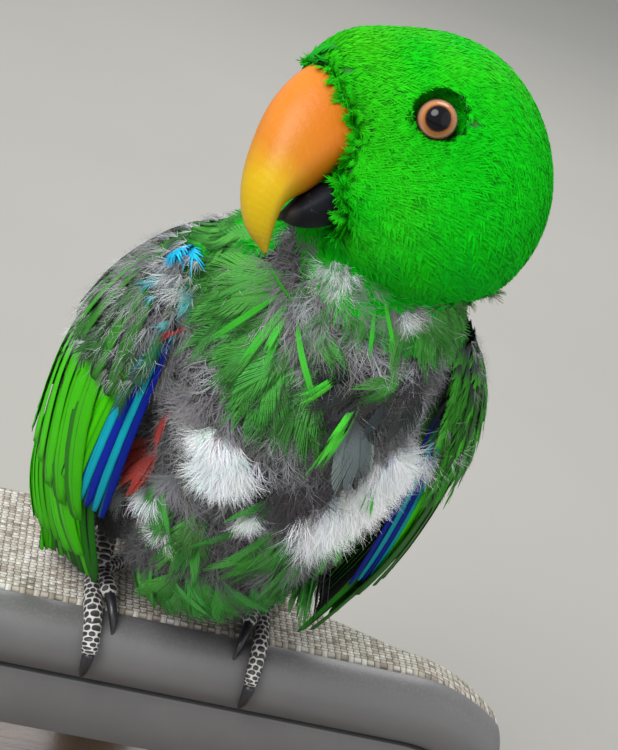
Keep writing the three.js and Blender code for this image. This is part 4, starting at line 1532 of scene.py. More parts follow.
@dataclass
class HeadCoat:
    """Short green feathers of the head, which grow into a ragged ruff over the neck."""

    shop: Workshop
    head: HeadForm
    ground: Ground
    bill: Ground
    chin: Ground
    count: int = 10000
    around_eye: int = 560
    fringe: int = 980
    eye_bare: float = 4.2
    bill_bare: float = 0.4
    front: float = 6.0
    fringe_low: Point = (17, -13, -20)
    fringe_high: Point = (29, 13, 25)
    eye_ring: tuple[float, float] = (5, 11)
    seed: int = 7

    def build(self) -> None:
        """Lay the feathers in two pieces, face and nape."""
        draw = np.random.default_rng(self.seed)
        roots, normals, gap = self._roots(draw)
        many = len(roots)
        f, _, u = self.head.local(roots).T
        ways = self.head.flow(roots, normals)
        ways = along_surface(ways + draw.normal(0, 0.07, ways.shape), normals)
        low, front = ease(-u, 6, 30), ease(f, 4, 26)
        near = np.minimum(self.bill.distance(roots), self.chin.distance(roots))
        chance = 0.62 * (1 - ease(near, 0.8, 4.6)) * (1 - 0.85 * ease(u, 15, 21))
        forward = draw.random(many) < chance
        lead = along_surface(self.head.axes()[0] + draw.normal(0, 0.16, ways.shape), normals)
        ways = np.where(forward[:, None], lead, ways)
        length = (6.2 + 9.5 * low - 1.2 * front) * draw.uniform(0.85, 1.15, many)
        length *= 0.6 + 0.4 * ease(gap, 6, 12)
        length = np.where(forward, 4.0 + 1.6 * ease(-u, 2, 10), length)
        colour = self._colours(roots, low, front, u, draw)
        brow = ease(f, 8, 24) * ease(u, 8, 22)
        lift = np.where(forward, 1.3, 0.8 + 1.2 * low + 0.3 * brow)
        stiff = np.where(forward, 1.0, 0.55 * low)
        spines, stands = self.ground.lay(roots, ways, length, 0.3, lift, stiff)
        lie = Lie(spines, stands, length * 0.2 + 0.25, draw.normal(0, 0.1, many), colour,
                  colour * 0.9, self.head.chart(roots))
        finish = PlumageFinish("head_plumage", root=(0.001, 0.2, 0.002), barbs=8.0, contrast=0.12,
                               cloud=0.1, gloss=0.62, sheen=0.05)
        for name, mine in (("face_feathers", f > self.front), ("nape_feathers", f <= self.front)):
            coat(self.shop, name, Shape.FACE, lie.picked(mine), finish, "plumage_green")

    def _roots(self, draw: Draw) -> tuple[Array, Array, Array]:
        """Return where feathers grow, the normals there and how far the nearer eye is."""
        k = np.arange(self.count)
        up = 1 - 2 * (k + 0.5) / self.count
        turn = k * math.pi * (3 - math.sqrt(5))
        flat = np.sqrt(1 - up * up)
        even = np.stack([flat * np.cos(turn), flat * np.sin(turn), up], 1)
        ball = unit(even + draw.normal(0, 0.008, (self.count, 3)))
        forward, side, up = self.head.eye
        middles = [self.head.at(forward, sign * side, up) for sign in (-1, 1)]
        fringe = draw.uniform(self.fringe_low, self.fringe_high, (self.fringe, 3))
        starts = [self.head.surface(ball), self.head.at(*fringe.T)]
        for middle in middles:
            out = unit(draw.normal(0, 1, (self.around_eye, 3)))
            starts.append(middle + out * draw.uniform(*self.eye_ring, (self.around_eye, 1)))
        roots, normals = self.ground.nearest(np.vstack(starts))
        f, _, u = self.head.local(roots).T
        gap = np.minimum(*(np.linalg.norm(roots - middle, axis=1) for middle in middles))
        free = (gap > self.eye_bare) & (self.bill.distance(roots) > self.bill_bare)
        free &= ~((u < -30) & (f < 2))
        return roots[free], normals[free], gap[free]

    @staticmethod
    def _colours(roots: Array, low: Array, front: Array, up: Array, draw: Draw) -> Array:
        """Mix the feathers' greens: yellower in front and above, deeper below, with flecks.

        Args:
            roots: Where the feathers grow.
            low: How far down the head each one is, from 0 to 1.
            front: How far forward it is, from 0 to 1.
            up: How high it is, in millimetres above the head's middle.
            draw: The coat's random draw.

        Returns:
            One colour for each feather.
        """
        colour = Tint.HEAD
        for other, share, size, seed in (
            (Tint.LIME, 0.6 * front, 22, 3.0),
            (Tint.LIME, 0.5 * ease(up, 2, 30), 15, 8.0),
            ((0.0, 0.34, 0.02), 0.5 * low, 12, 6.0),
        ):
            colour = blend(colour, other, (share * ripple(roots, size, seed))[:, None])
        fleck = (draw.random(len(roots)) < 0.05)[:, None]
        colour = np.where(fleck, colour * 0.6, colour)
        return np.clip(colour * (1 + draw.uniform(-0.1, 0.1, (len(roots), 1))), 0, 1)


PIXELS_PER_MM = 3.8


class Kind(Enum):
    """What a clump is made of: shape, colour, edge colour, half width in millimetres, lift."""

    GREEN = (Shape.LOOSE, Tint.LEAF, (0.03, 0.15, 0.025), 5.2, 3.2)
    FRAY = (Shape.FRAYED, Tint.LEAF, Tint.LEAF, 4.2, 3.4)
    BRIGHT = (Shape.STRAP, Tint.BRIGHT, Tint.LEAF, 1.1, 6.8)
    OLIVE = (Shape.VEIL, Tint.OLIVE, Tint.OLIVE, 5.5, 5.0)
    MOSS = (Shape.FRAYED, (0.045, 0.16, 0.035), (0.03, 0.09, 0.03), 4.4, 3.8)
    VEIL = (Shape.VEIL, (0.19, 0.225, 0.19), (0.3, 0.32, 0.31), 5.6, 5.5)
    DUSK = (Shape.VEIL, (0.042, 0.045, 0.046), Tint.JET, 4.6, 3.8)
    # BAND is white down painted brighter than WHITE: painted light that offsets the shade of the crevice
    # between body and wing.
    BAND = (Shape.PLUME, (0.95, 0.98, 1.0), (0.95, 0.98, 1.0), 5.0, 5.5)
    RED = (Shape.VEIL, Tint.RED, Tint.RED, 2.8, 6.0)
    # AQUA is the patch's own sky blue, painted brighter as painted light against the shade of the green
    # feathers that overhang it.
    AQUA = (Shape.SCALE, (0.015, 0.58, 0.95), (0.008, 0.34, 0.8), 1.9, 4.6)
    TEAL = (Shape.SCALE, (0.1, 0.46, 0.46), (0.05, 0.34, 0.44), 1.9, 3.4)
    WHITE = (Shape.PLUME, Tint.SNOW, Tint.SNOW, 5.0, 3.4)
    GREY = (Shape.PLUME, Tint.ASH, (0.34, 0.34, 0.35), 4.5, 2.2)
    DARK = (Shape.PLUME, Tint.SOOT, (0.08, 0.075, 0.075), 4.5, 2.0)

    @property
    def is_down(self) -> bool:
        """Say whether the clump is down, not feathers."""
        return self in (Kind.BAND, Kind.WHITE, Kind.GREY, Kind.DARK)


@dataclass(frozen=True)
class Clump:
    """A group of feathers that the photograph shows from its root pixel to its tip pixel."""

    kind: Kind
    root: Pixel
    tip: Pixel
    count: int = 5
    spread: float = 4.0
    fan: float = 0.22
    width: float = 1.0
    hanging: bool = False

    def reach(self) -> float:
        """Return how long the feathers may be, with some room for ones seen end on."""
        return 1.6 * math.dist(self.root, self.tip) / PIXELS_PER_MM


GREEN, FRAY, BRIGHT, OLIVE, MOSS, VEIL, DUSK, BAND, RED, AQUA, TEAL, WHITE, GREY, DARK = Kind

# Kind, root and tip pixels, count, spread, fan, width, and whether the clump hangs free
CLUMPS = tuple(Clump(kind, (x, y), (u, v), *rest) for kind, x, y, u, v, *rest in (
    (GREEN, 204, 220, 146, 250, 6, 3.4, 0.12, 0.9), (GREEN, 240, 216, 178, 220, 6, 3.4, 0.1, 0.9),
    (FRAY, 226, 216, 160, 232, 4, 3.0, 0.1, 0.8), (GREEN, 250, 222, 176, 232, 7, 4.0, 0.12, 0.9),
    (FRAY, 244, 226, 170, 230, 3, 3.0, 0.1, 0.7), (GREEN, 264, 240, 192, 262, 8, 4.6, 0.14),
    (GREEN, 222, 244, 176, 270, 5, 4.0, 0.14, 0.8), (GREEN, 226, 274, 184, 300, 5, 4.0, 0.14, 0.8),
    (GREEN, 224, 300, 182, 330, 5, 4.0, 0.14, 0.8), (GREEN, 278, 262, 200, 288, 8, 4.6, 0.14),
    (GREEN, 284, 284, 198, 312, 8, 4.6, 0.14), (GREEN, 288, 304, 200, 340, 8, 4.6, 0.14),
    (GREEN, 290, 322, 214, 368, 8, 4.6, 0.16), (GREEN, 292, 338, 236, 390, 7, 4.6, 0.18),
    (GREEN, 286, 352, 236, 420, 7, 4.6, 0.18), (GREEN, 292, 356, 262, 440, 8, 4.6, 0.16),
    (FRAY, 292, 370, 270, 458, 4, 5.0, 0.16), (GREEN, 300, 360, 292, 446, 6, 4.6, 0.16),
    (FRAY, 302, 376, 300, 462, 4, 4.0, 0.16), (FRAY, 238, 262, 210, 300, 5, 6.0, 0.2),
    (FRAY, 250, 320, 216, 352, 5, 6.0, 0.2), (BRIGHT, 291, 290, 229, 346, 2, 1.0, 0.08),
    (BRIGHT, 292, 312, 276, 362, 2, 0.8, 0.05, 0.9), (BRIGHT, 293, 310, 311, 386, 2, 0.8, 0.04, 0.8),
    (BRIGHT, 300, 306, 288, 268, 1, 0.6, 0.04, 0.6), (GREEN, 302, 308, 340, 376, 3, 1.6, 0.1, 0.8),
    (BRIGHT, 344, 372, 292, 388, 2, 1.0, 0.05, 0.8), (GREEN, 322, 292, 284, 322, 3, 3.0, 0.25, 0.5),
    (FRAY, 368, 290, 360, 350, 6, 2.4, 0.14, 0.7), (BRIGHT, 376, 300, 370, 350, 2, 2.0, 0.08, 0.6),
    (GREY, 398, 302, 398, 332, 16, 2.6, 0.3), (WHITE, 400, 310, 400, 332, 8, 1.6, 0.3),
    (GREEN, 432, 288, 428, 372, 9, 4.0, 0.12, 1.1), (FRAY, 420, 296, 412, 366, 4, 2.4, 0.12, 0.8),
    (FRAY, 446, 292, 444, 380, 5, 6.0, 0.16, 1.1), (GREEN, 466, 294, 470, 372, 5, 4.0, 0.14),
    (FRAY, 414, 322, 424, 378, 4, 3.0, 0.12), (GREEN, 412, 372, 350, 386, 4, 2.0, 0.08, 0.6),
    (WHITE, 338, 266, 336, 288, 16, 2.8, 0.7), (WHITE, 334, 288, 336, 304, 10, 2.2, 0.8),
    (GREY, 354, 276, 350, 300, 22, 4.0, 0.8), (GREY, 312, 300, 310, 340, 20, 6.0, 0.5),
    (GREY, 330, 330, 326, 366, 22, 7.0, 0.5), (DUSK, 374, 372, 306, 392, 5, 3.0, 0.12),
    (DUSK, 372, 378, 312, 420, 5, 3.0, 0.12), (DUSK, 408, 380, 380, 428, 4, 3.4, 0.2),
    (VEIL, 364, 396, 352, 470, 2, 0.8, 0.06), (BRIGHT, 366, 386, 294, 463, 2, 0.9, 0.04, 1.3),
    (BRIGHT, 362, 392, 313, 430, 1, 1.0, 0.05, 0.8), (OLIVE, 436, 394, 424, 444, 2, 1.0, 0.1, 1.1),
    (FRAY, 478, 392, 452, 408, 3, 3.0, 0.2, 0.6), (BAND, 416, 436, 398, 462, 46, 3.4, 0.3),
    (BAND, 398, 452, 380, 482, 50, 3.6, 0.3), (BAND, 374, 474, 358, 504, 50, 3.6, 0.3),
    (BAND, 388, 456, 374, 484, 34, 2.6, 0.3), (BAND, 348, 492, 334, 524, 46, 3.6, 0.3),
    (BAND, 326, 508, 316, 540, 30, 3.0, 0.3), (WHITE, 312, 530, 306, 560, 18, 2.2, 0.3),
    (BRIGHT, 372, 470, 342, 500, 3, 3.0, 0.15, 0.9), (WHITE, 220, 436, 214, 464, 40, 2.8, 0.35),
    (WHITE, 226, 466, 220, 494, 40, 2.8, 0.3), (WHITE, 240, 460, 240, 490, 26, 3.0, 0.35),
    (WHITE, 249, 510, 247, 530, 12, 1.3, 0.3), (WHITE, 126, 482, 122, 504, 14, 2.2, 0.5),
    (WHITE, 152, 488, 150, 512, 16, 2.0, 0.4), (GREY, 180, 480, 176, 506, 16, 2.6, 0.5),
    (WHITE, 166, 528, 162, 544, 9, 1.4, 0.7), (GREY, 204, 410, 198, 440, 24, 6.0, 0.5),
    (RED, 158, 444, 138, 484, 7, 1.8, 0.16, 1.1), (RED, 172, 406, 175, 444, 2, 0.6, 0.05, 0.6),
    (RED, 198, 326, 176, 340, 1, 0.6, 0.08, 0.4), (GREEN, 162, 474, 168, 528, 2, 1.5, 0.1, 0.5),
    (FRAY, 194, 508, 180, 560, 4, 3.0, 0.25), (MOSS, 200, 512, 204, 560, 3, 2.0, 0.2),
    (GREEN, 202, 524, 214, 584, 4, 4.0, 0.25, 0.8), (FRAY, 286, 520, 234, 570, 5, 4.0, 0.15, 0.8),
    (GREEN, 298, 535, 226, 582, 4, 3.0, 0.15, 0.8), (GREEN, 282, 498, 236, 512, 2, 2.0, 0.1, 0.5),
    (FRAY, 126, 574, 158, 612, 5, 4.0, 0.25, 0.7), (GREEN, 160, 570, 196, 618, 6, 4.0, 0.25, 0.8),
    (FRAY, 180, 574, 214, 628, 5, 4.0, 0.25, 0.9), (GREEN, 196, 574, 220, 628, 5, 4.0, 0.25, 0.9),
    (GREEN, 222, 578, 266, 612, 6, 4.0, 0.25, 0.8), (FRAY, 262, 580, 296, 622, 6, 4.0, 0.25, 0.8),
    (GREEN, 322, 538, 306, 598, 6, 3.4, 0.25, 0.9), (GREEN, 298, 562, 304, 616, 6, 3.0, 0.25, 0.9),
    (FRAY, 308, 556, 318, 606, 5, 3.0, 0.25, 0.9), (FRAY, 330, 528, 326, 584, 5, 3.0, 0.25, 0.9),
    (BRIGHT, 334, 530, 312, 580, 3, 2.0, 0.1, 1.3), (GREEN, 326, 562, 304, 628, 8, 3.4, 0.16, 0.8, True),
    (DUSK, 336, 556, 318, 618, 5, 2.4, 0.14, 0.7, True), (GREEN, 306, 566, 292, 618, 6, 3.4, 0.2, 0.8, True),
    (GREY, 300, 556, 292, 588, 16, 5.0, 0.5), (DARK, 336, 396, 330, 426, 30, 5.0, 0.5),
    (DARK, 396, 384, 388, 412, 30, 4.6, 0.5), (DARK, 296, 492, 290, 524, 26, 4.6, 0.5),
    (TEAL, 182, 282, 176, 312, 6, 2.6, 0.3), (TEAL, 188, 312, 180, 340, 4, 2.4, 0.3, 0.8),
    (WHITE, 186, 288, 178, 314, 12, 3.0, 0.5), (WHITE, 112, 284, 94, 306, 22, 4.0, 0.7),
    (WHITE, 80, 332, 62, 356, 22, 3.4, 0.7), (WHITE, 136, 268, 118, 284, 14, 3.6, 0.7),
    (GREY, 162, 262, 136, 284, 34, 6.0, 0.7), (GREY, 150, 290, 124, 320, 40, 7.0, 0.7),
    (GREY, 168, 316, 156, 352, 34, 6.0, 0.6), (GREY, 112, 316, 88, 344, 30, 6.0, 0.7),
    (GREY, 164, 352, 156, 388, 26, 4.6, 0.5), (GREEN, 134, 296, 122, 340, 3, 2.0, 0.25, 0.4),
    (GREY, 480, 346, 484, 372, 12, 3.0, 0.6), (FRAY, 478, 290, 490, 318, 4, 2.4, 0.3, 0.6),
    (DUSK, 122, 322, 98, 376, 4, 4.0, 0.12, 0.36), (DUSK, 140, 330, 122, 384, 4, 3.4, 0.12, 0.36),
    (DUSK, 100, 334, 78, 388, 4, 3.4, 0.12, 0.36), (GREEN, 128, 300, 112, 344, 4, 2.6, 0.12, 0.45),
    (AQUA, 191, 250, 186, 280, 8, 0.8, 0.16, 1.3),
))


@dataclass
class Clumps:
    """The loose feathers and down of breast, belly and shoulders, clump by clump."""

    shop: Workshop
    lens: Lens
    ground: Ground
    trunk: TrunkForm
    step: float = 0.02
    sink: float = 0.5
    stiff: float = 0.25
    seed: int = 23

    def build(self) -> None:
        """Lay every clump, as one piece of feathers and one of down."""
        feathers, down = Cloud("breast_feathers"), Cloud("breast_down")
        draw = np.random.default_rng(self.seed)
        for rank, clump in enumerate(CLUMPS):
            cloud = down if clump.kind.is_down else feathers
            add_mixed(cloud, clump.kind.value[0], self._lie(clump, self.step * rank, draw))
        loose = PlumageFinish("loose_plumage", root=(0.1, 0.105, 0.115), root_fade=(0.02, 0.22),
                              barbs=20.0, lean=1.2, rim_from=(0.86, 0.97))
        feathers.piece(self.shop, loose, "plumage_green")
        down.piece(self.shop, DownFinish("breast_down", pale=0.45, blotches=0.12), "down")

    def _lie(self, clump: Clump, raised: float, draw: Draw) -> Lie:
        """Find where a clump's feathers lie.

        Args:
            clump: The clump.
            raised: How far it stands over the clumps before it.
            draw: The clumps' random draw.

        Returns:
            The feathers' lie and colours.
        """
        _, plume, rim, half, lift = clump.kind.value
        root = self.ground.seen(self.lens, clump.root)
        tip = self._free_tip(clump, root) if clump.hanging else self.ground.seen(self.lens, clump.tip)
        _, normal = self.ground.nearest(root[None])
        many = clump.count
        ahead = along_surface((tip - root)[None], normal)
        aside = np.cross(normal, ahead)
        sway = draw.normal(0, 1, (many, 2)) * clump.spread * np.array([0.5, 0.8])
        roots = root + ahead * sway[:, :1] + aside * sway[:, 1:]
        turn = draw.normal(0, clump.fan, (many, 1)) + sway[:, 1:] / max(clump.spread, 1) * clump.fan
        ways = ahead * np.cos(turn) + aside * np.sin(turn)
        length = min(math.dist(tip, root), clump.reach()) * draw.uniform(0.78, 1.08, many)
        lifts = (lift + raised) * draw.uniform(0.7, 1.3, many)
        spines, stands = self.ground.lay(roots, ways, length, self.sink, lifts, self.stiff)
        if clump.hanging:
            t = np.linspace(0, 1, spines.shape[1])[None, :, None]
            ways = unit(unit((tip - root)[None]) + aside * turn)
            spines = roots[:, None] + ways[:, None] * length[:, None, None] * t
            stands = np.broadcast_to(normal[:, None], spines.shape).copy()
        wide = half * clump.width * draw.uniform(0.8, 1.2, many)
        if clump.kind.is_down:
            wide = length
        return Lie(spines, stands, wide, draw.normal(0, 0.22, many), shaded(plume, many, draw),
                   shaded(rim, many, draw), self.trunk.chart(spines[:, 0]))

    def _free_tip(self, clump: Clump, root: Array) -> Array:
        """Return where a tip hangs that is as far from the camera as its root."""
        eye, ray, depth = np.array(self.lens.place), self.lens.ray(clump.tip), self.lens.axes()[2]
        return eye + ray * float((root - eye) @ depth) / float(ray @ depth)


@dataclass
class BodyCoat:
    """Down over the plucked front, and whole green feathers down the nape and back."""

    shop: Workshop
    trunk: TrunkForm
    head: HeadForm
    ground: Ground
    wings: Ground
    head_share: float = 1.12
    wing_gap: float = 2.5

    def build(self) -> None:
        """Lay the down and the feathers."""
        self._down()
        self._back()

    def _outside(self, places: Array) -> Array:
        """Say which places lie neither on the head nor on the wings' flesh."""
        off_wings = self.wings.distance(places) > self.wing_gap
        return ~self.head.covers(places, self.head_share) & off_wings

    def _plucked(self, places: Array) -> Array:
        """Return how bare of feathers each place is: 1 on the front, 0 on the back."""
        t, angle, _ = self.trunk.locate(places)
        line = blend(1.35, 2.0, ease(t, 0.62, 0.95)) + 0.25 * (ripple(places, 26, 5.0) - 0.5)
        return ease(np.abs(angle), line - 0.2, line + 0.2)

    def _field(self, front: bool, seed: int, spacing: float, tries: int,
               jitter: float) -> tuple[Draw, Array, Array, Array]:
        """Spread roots over the front or the back.

        Args:
            front: Whether the plucked front is wanted.
            seed: What the draws start from.
            spacing: The least distance between two roots.
            tries: How many roots are drawn before the close ones go.
            jitter: How much the feathers' ways differ.

        Returns:
            The draw, the roots, their t along the trunk and the feathers' ways.
        """
        draw = np.random.default_rng(seed)
        roots = self.ground.scatter(spacing, tries, seed + 1, self._outside)
        chance, bare = draw.random(len(roots)), self._plucked(roots)
        roots = roots[chance < bare if front else chance > bare]
        t, _, way = self.trunk.locate(roots)
        _, normals = self.ground.nearest(roots)
        return draw, roots, t, along_surface(-way + draw.normal(0, jitter, way.shape), normals)

    def _down(self) -> None:
        """Cover the front with short, mixed grey down."""
        draw, roots, t, ways = self._field(front=True, seed=41, spacing=2.3, tries=26000, jitter=0.45)
        many = len(roots)
        length = draw.uniform(5.5, 9.5, many)
        pale = ease(ripple(roots, 17, 1.0), 0.5, 0.8) * ease(t, 0.35, 0.95)
        colour = blend(Tint.SOOT, Tint.ASH, (0.25 + 0.75 * ease(t, 0.3, 0.9))[:, None])
        colour = blend(colour, Tint.SNOW, (0.6 * pale)[:, None]) * draw.uniform(0.7, 1.3, (many, 1))
        spines, stands = self.ground.lay(roots, ways, length, 0.4, 1.2)
        lie = Lie(spines, stands, length, draw.normal(0, 0.3, many), colour,
                  blend(colour, Tint.SNOW, 0.35), self.trunk.chart(roots))
        coat(self.shop, "body_down", Shape.FLUFF, lie, DownFinish("body_down"), "down")

    def _back(self) -> None:
        """Cover nape, back and rump with whole feathers that overlap."""
        draw, roots, t, ways = self._field(front=False, seed=51, spacing=3.3, tries=20000, jitter=0.1)
        many = len(roots)
        length = blend(17.0, 12.0, ease(t, 0.6, 1.0)) * draw.uniform(0.85, 1.15, many)
        colour = blend(Tint.BACK, Tint.HEAD, (0.7 * ease(t, 0.55, 0.95))[:, None])
        colour = colour * draw.uniform(0.75, 1.25, (many, 1))
        spines, stands = self.ground.lay(roots, ways, length, 0.5, 2.2)
        lie = Lie(spines, stands, length * 0.32, draw.normal(0, 0.12, many), colour,
                  colour * 0.7, self.trunk.chart(roots))
        finish = PlumageFinish("back_plumage", barbs=16.0)
        coat(self.shop, "back_feathers", Shape.SCALE, lie, finish, "plumage_green")


@dataclass(frozen=True)
class Tier:
    """One tier of wing feathers: how many, from where to where, how wide, how high.

    The sweep is how far they run towards the leading edge, and ashen says how grey wear
    makes them. The colours go feather by feather from the leading edge, the last for the rest.
    """

    shape: Shape
    count: int
    across: tuple[float, float]
    root: tuple[float, float]
    tip: tuple[float, float]
    half: float
    height: float
    roll: float
    colours: tuple[tuple[Colour, Colour], ...]
    sweep: float = 0.0
    ashen: float = 0.0


DEEP = (Tint.BLUE, (0.003, 0.1, 0.2))
LAGOON = (Tint.AQUA, (0.003, 0.1, 0.34))
GRASS = (Tint.WING, Tint.JET)
BROAD = (Tint.WING, (0.02, 0.2, 0.004))
SHADE = ((0.015, 0.2, 0.006), Tint.JET)

# Primaries, secondaries, tertials, then the primary, greater and median coverts
TIERS = (
    Tier(Shape.FLIGHT, 18, (0.08, 0.6), (0.42, 0.4), (1.0, 1.0), 1.9, -9.0, 0.22,
         (SHADE, SHADE, GRASS, SHADE, SHADE, GRASS, SHADE, GRASS, SHADE, SHADE, GRASS), -0.1),
    Tier(Shape.FLIGHT, 12, (0.24, 0.9), (0.34, 0.34), (0.91, 0.88), 4.2, -6.2, 0.17,
         (BROAD, BROAD, GRASS, BROAD, BROAD, BROAD, GRASS, BROAD), -0.16),
    Tier(Shape.FLIGHT, 4, (0.86, 0.98), (0.2, 0.2), (0.8, 0.7), 4.6, -3.8, 0.24, (GRASS,), -0.05),
    Tier(Shape.FLIGHT, 7, (-0.02, 0.125), (0.1, 0.14), (0.7, 0.62), 1.75, -4.6, 0.24,
         (DEEP, LAGOON, DEEP, LAGOON, GRASS), 0.02),
    Tier(Shape.COVERT, 10, (0.2, 0.84), (0.18, 0.16), (0.74, 0.56), 4.7, -3.2, 0.17,
         (BROAD,), -0.13, 0.1),
    Tier(Shape.COVERT, 12, (0.14, 0.9), (0.07, 0.06), (0.34, 0.3), 3.2, -0.8, 0.17,
         (GRASS,), -0.05, 1.0),
)


@dataclass
class Wing:
    """A folded wing: tiers of vanes, and small feathers or down over the shoulder."""

    shop: Workshop
    form: WingForm
    side: str
    worn: float
    slim: float = 0.0
    end: float = 1.0
    azure: float = 0.2
    dusk: float = 0.0
    thickness: float = 0.16
    rows: int = 9
    columns: int = 17
    vane_seed: int = 60
    covert_seed: int = 70

    def build(self) -> None:
        """Lay the flight feathers and coverts, then the shoulder."""
        self._vanes()
        self._shoulder()

    def _vanes(self) -> None:
        """Lay the large vanes, with a thickness of their own."""
        cloud = Cloud(f"wing_{self.side}_vanes")
        draw = np.random.default_rng(self.vane_seed + self.form.sign)
        cells = sum(tier.count for tier in TIERS)
        used = 0
        for tier in TIERS:
            many = tier.count
            k = np.linspace(0, 1, many)
            v, root, tip = (blend(*ends, k) for ends in (tier.across, tier.root, tier.tip))
            tip = tip + draw.uniform(-0.02, 0.02, many)
            spines, normals = self._spines(v, root, tip, tier)
            plume, rim = self._colours(tier, draw)
            chart = np.stack([np.full(many, 0.5), (used + np.arange(many) + 0.5) / cells], 1)
            half = tier.half * draw.uniform(0.85, 1.1, many)
            roll = draw.normal(0, 0.03, many) - tier.roll * self.form.sign
            add_mixed(cloud, tier.shape, Lie(spines, normals, half, roll, plume, rim, chart),
                      np.array([0.96, 0.9 / cells]), flipped=self.form.sign < 0)
            used += many
        finish = PlumageFinish("wing_plumage", root=Tint.WORN, root_fade=(0.08, 0.3), barbs=70.0,
                               lean=0.3, contrast=0.12, gloss=0.38, rim_from=(0.66, 0.76))
        thicken(cloud.piece(self.shop, finish, "wing_feathers", [f"wing_{self.side}"]), self.thickness)

    def _spines(self, v: Array, root: Array, tip: Array, tier: Tier) -> tuple[Array, Array]:
        """Draw spines down the wing, with their roots sunk into the flesh.

        Args:
            v: How far across the wing each feather's root is.
            root: How far down it the feather starts.
            tip: How far down it the feather ends.
            tier: The tier that the feathers are of.

        Returns:
            The spines' points and the wing's normals at them.
        """
        t = np.linspace(0, 1, 7)
        dip = 2.4 * np.maximum(0.0, 1 - t / 0.25) ** 2
        over = np.maximum(v[:, None] + tier.sweep * t**1.5, min(0.01, tier.across[0]))
        fade = blend(0.6, 1.0, np.clip(over / 0.25, 0, 1))
        u = np.minimum(blend(root[:, None], tip[:, None], t), self.end - 0.03 * (1 - t))
        slim = self.slim * ease(u, 0.3, 0.62) * ease(v, 0.12, 0.34)[:, None]
        return self.form.at(u, over, tier.height * fade - dip - slim)

    def _colours(self, tier: Tier, draw: Draw) -> tuple[Array, Array]:
        """Return the plume and rim colours across a tier, greyed where the wing is worn."""
        rows = [tier.colours[min(k, len(tier.colours) - 1)] for k in range(tier.count)]
        plume, rim = (np.array([row[column] for row in rows], float) for column in (0, 1))
        grey = tier.ashen * self.worn * draw.uniform(0.55, 1.0, (tier.count, 1))
        front = 1 - np.linspace(0, 1.6, tier.count)[:, None]
        dusky = self.dusk * (draw.random((tier.count, 1)) < front) * (plume[:, :1] > 0.05)
        plume, rim = blend(plume, Tint.JET, dusky), blend(rim, Tint.WING, dusky)
        plume = blend(plume * draw.uniform(0.8, 1.15, (tier.count, 1)), Tint.WORN, grey)
        return plume, blend(rim, Tint.WORN, grey)

    def _shoulder(self) -> None:
        """Lay small coverts over the shoulder, and down where they are gone."""
        draw = np.random.default_rng(self.covert_seed + self.form.sign)
        down_wing, over_wing = np.linspace(0, 0.3, self.rows), np.linspace(0.02, 0.98, self.columns)
        u, v = (g.ravel() for g in np.meshgrid(down_wing, over_wing))
        u = np.clip(u + draw.uniform(-0.012, 0.012, len(u)), 0, 1)
        v = np.clip(v + draw.uniform(-0.02, 0.02, len(v)), 0.01, 0.99)
        patches = ripple(np.stack([u * 90, v * 60, 0 * u], 1), 34, 2.0 + self.form.sign)
        bare = np.maximum(ease(patches, 0.08, 0.3), ease(u, 0.1, 0.18))
        gone = draw.random(len(u)) < self.worn * bare
        feathers, down = Cloud(f"wing_{self.side}_coverts"), Cloud(f"wing_{self.side}_down")
        for mask, cloud, shape in ((~gone, feathers, Shape.SCALE), (gone, down, Shape.FLUFF)):
            self._scales(u[mask], v[mask], cloud, shape, draw)
        feathers.piece(self.shop, PlumageFinish("covert_plumage", barbs=14.0), "wing_feathers")
        down.piece(self.shop, DownFinish("wing_down", pale=0.5), "down")

    def _scales(self, u: Array, v: Array, cloud: Cloud, shape: Shape, draw: Draw) -> None:
        """Add small feathers or tufts at places on the wing.

        Args:
            u: How far down the wing each one's root is.
            v: How far across it the root is.
            cloud: What they are added to.
            shape: Their shape.
            draw: The wing's random draw.
        """
        is_down = shape is Shape.FLUFF
        reach = 0.065 if is_down else 0.13
        many, steps = len(u), 4
        t = np.linspace(0, 1, steps)
        rise = 2.6 * ease(u, 0.0, 0.06)[:, None] * t**0.7
        height = -2.6 + rise + draw.uniform(0, 0.4, (steps, many)).T
        spines, normals = self.form.at(u[:, None] + reach * t, v[:, None], height)
        if is_down:
            colour = blend(Tint.ASH, Tint.SNOW, draw.uniform(0, 0.8, (many, 1)))
            half = np.linalg.norm(spines[:, -1] - spines[:, 0], axis=1) * 0.6
        else:
            lead = self.azure * (1 - ease(v, 0.02, 0.1))[:, None]
            colour = blend(Tint.LEAF, Tint.WING, draw.uniform(0, 0.7, (many, 1)))
            colour = blend(colour, Tint.AQUA, lead) * draw.uniform(0.6, 1.1, (many, 1))
            colour = blend(colour, Tint.WORN, self.worn * draw.uniform(0.2, 0.9, (many, 1)))
            half = blend(2.2, 4.2, ease(v, 0.05, 0.25))
        chart = np.stack([0.02 + 0.96 * v, 0.02 + 0.96 * u], 1)
        add_mixed(cloud, shape, Lie(spines, normals, half, draw.normal(0, 0.1, many),
                                    colour, colour * 0.6, chart))


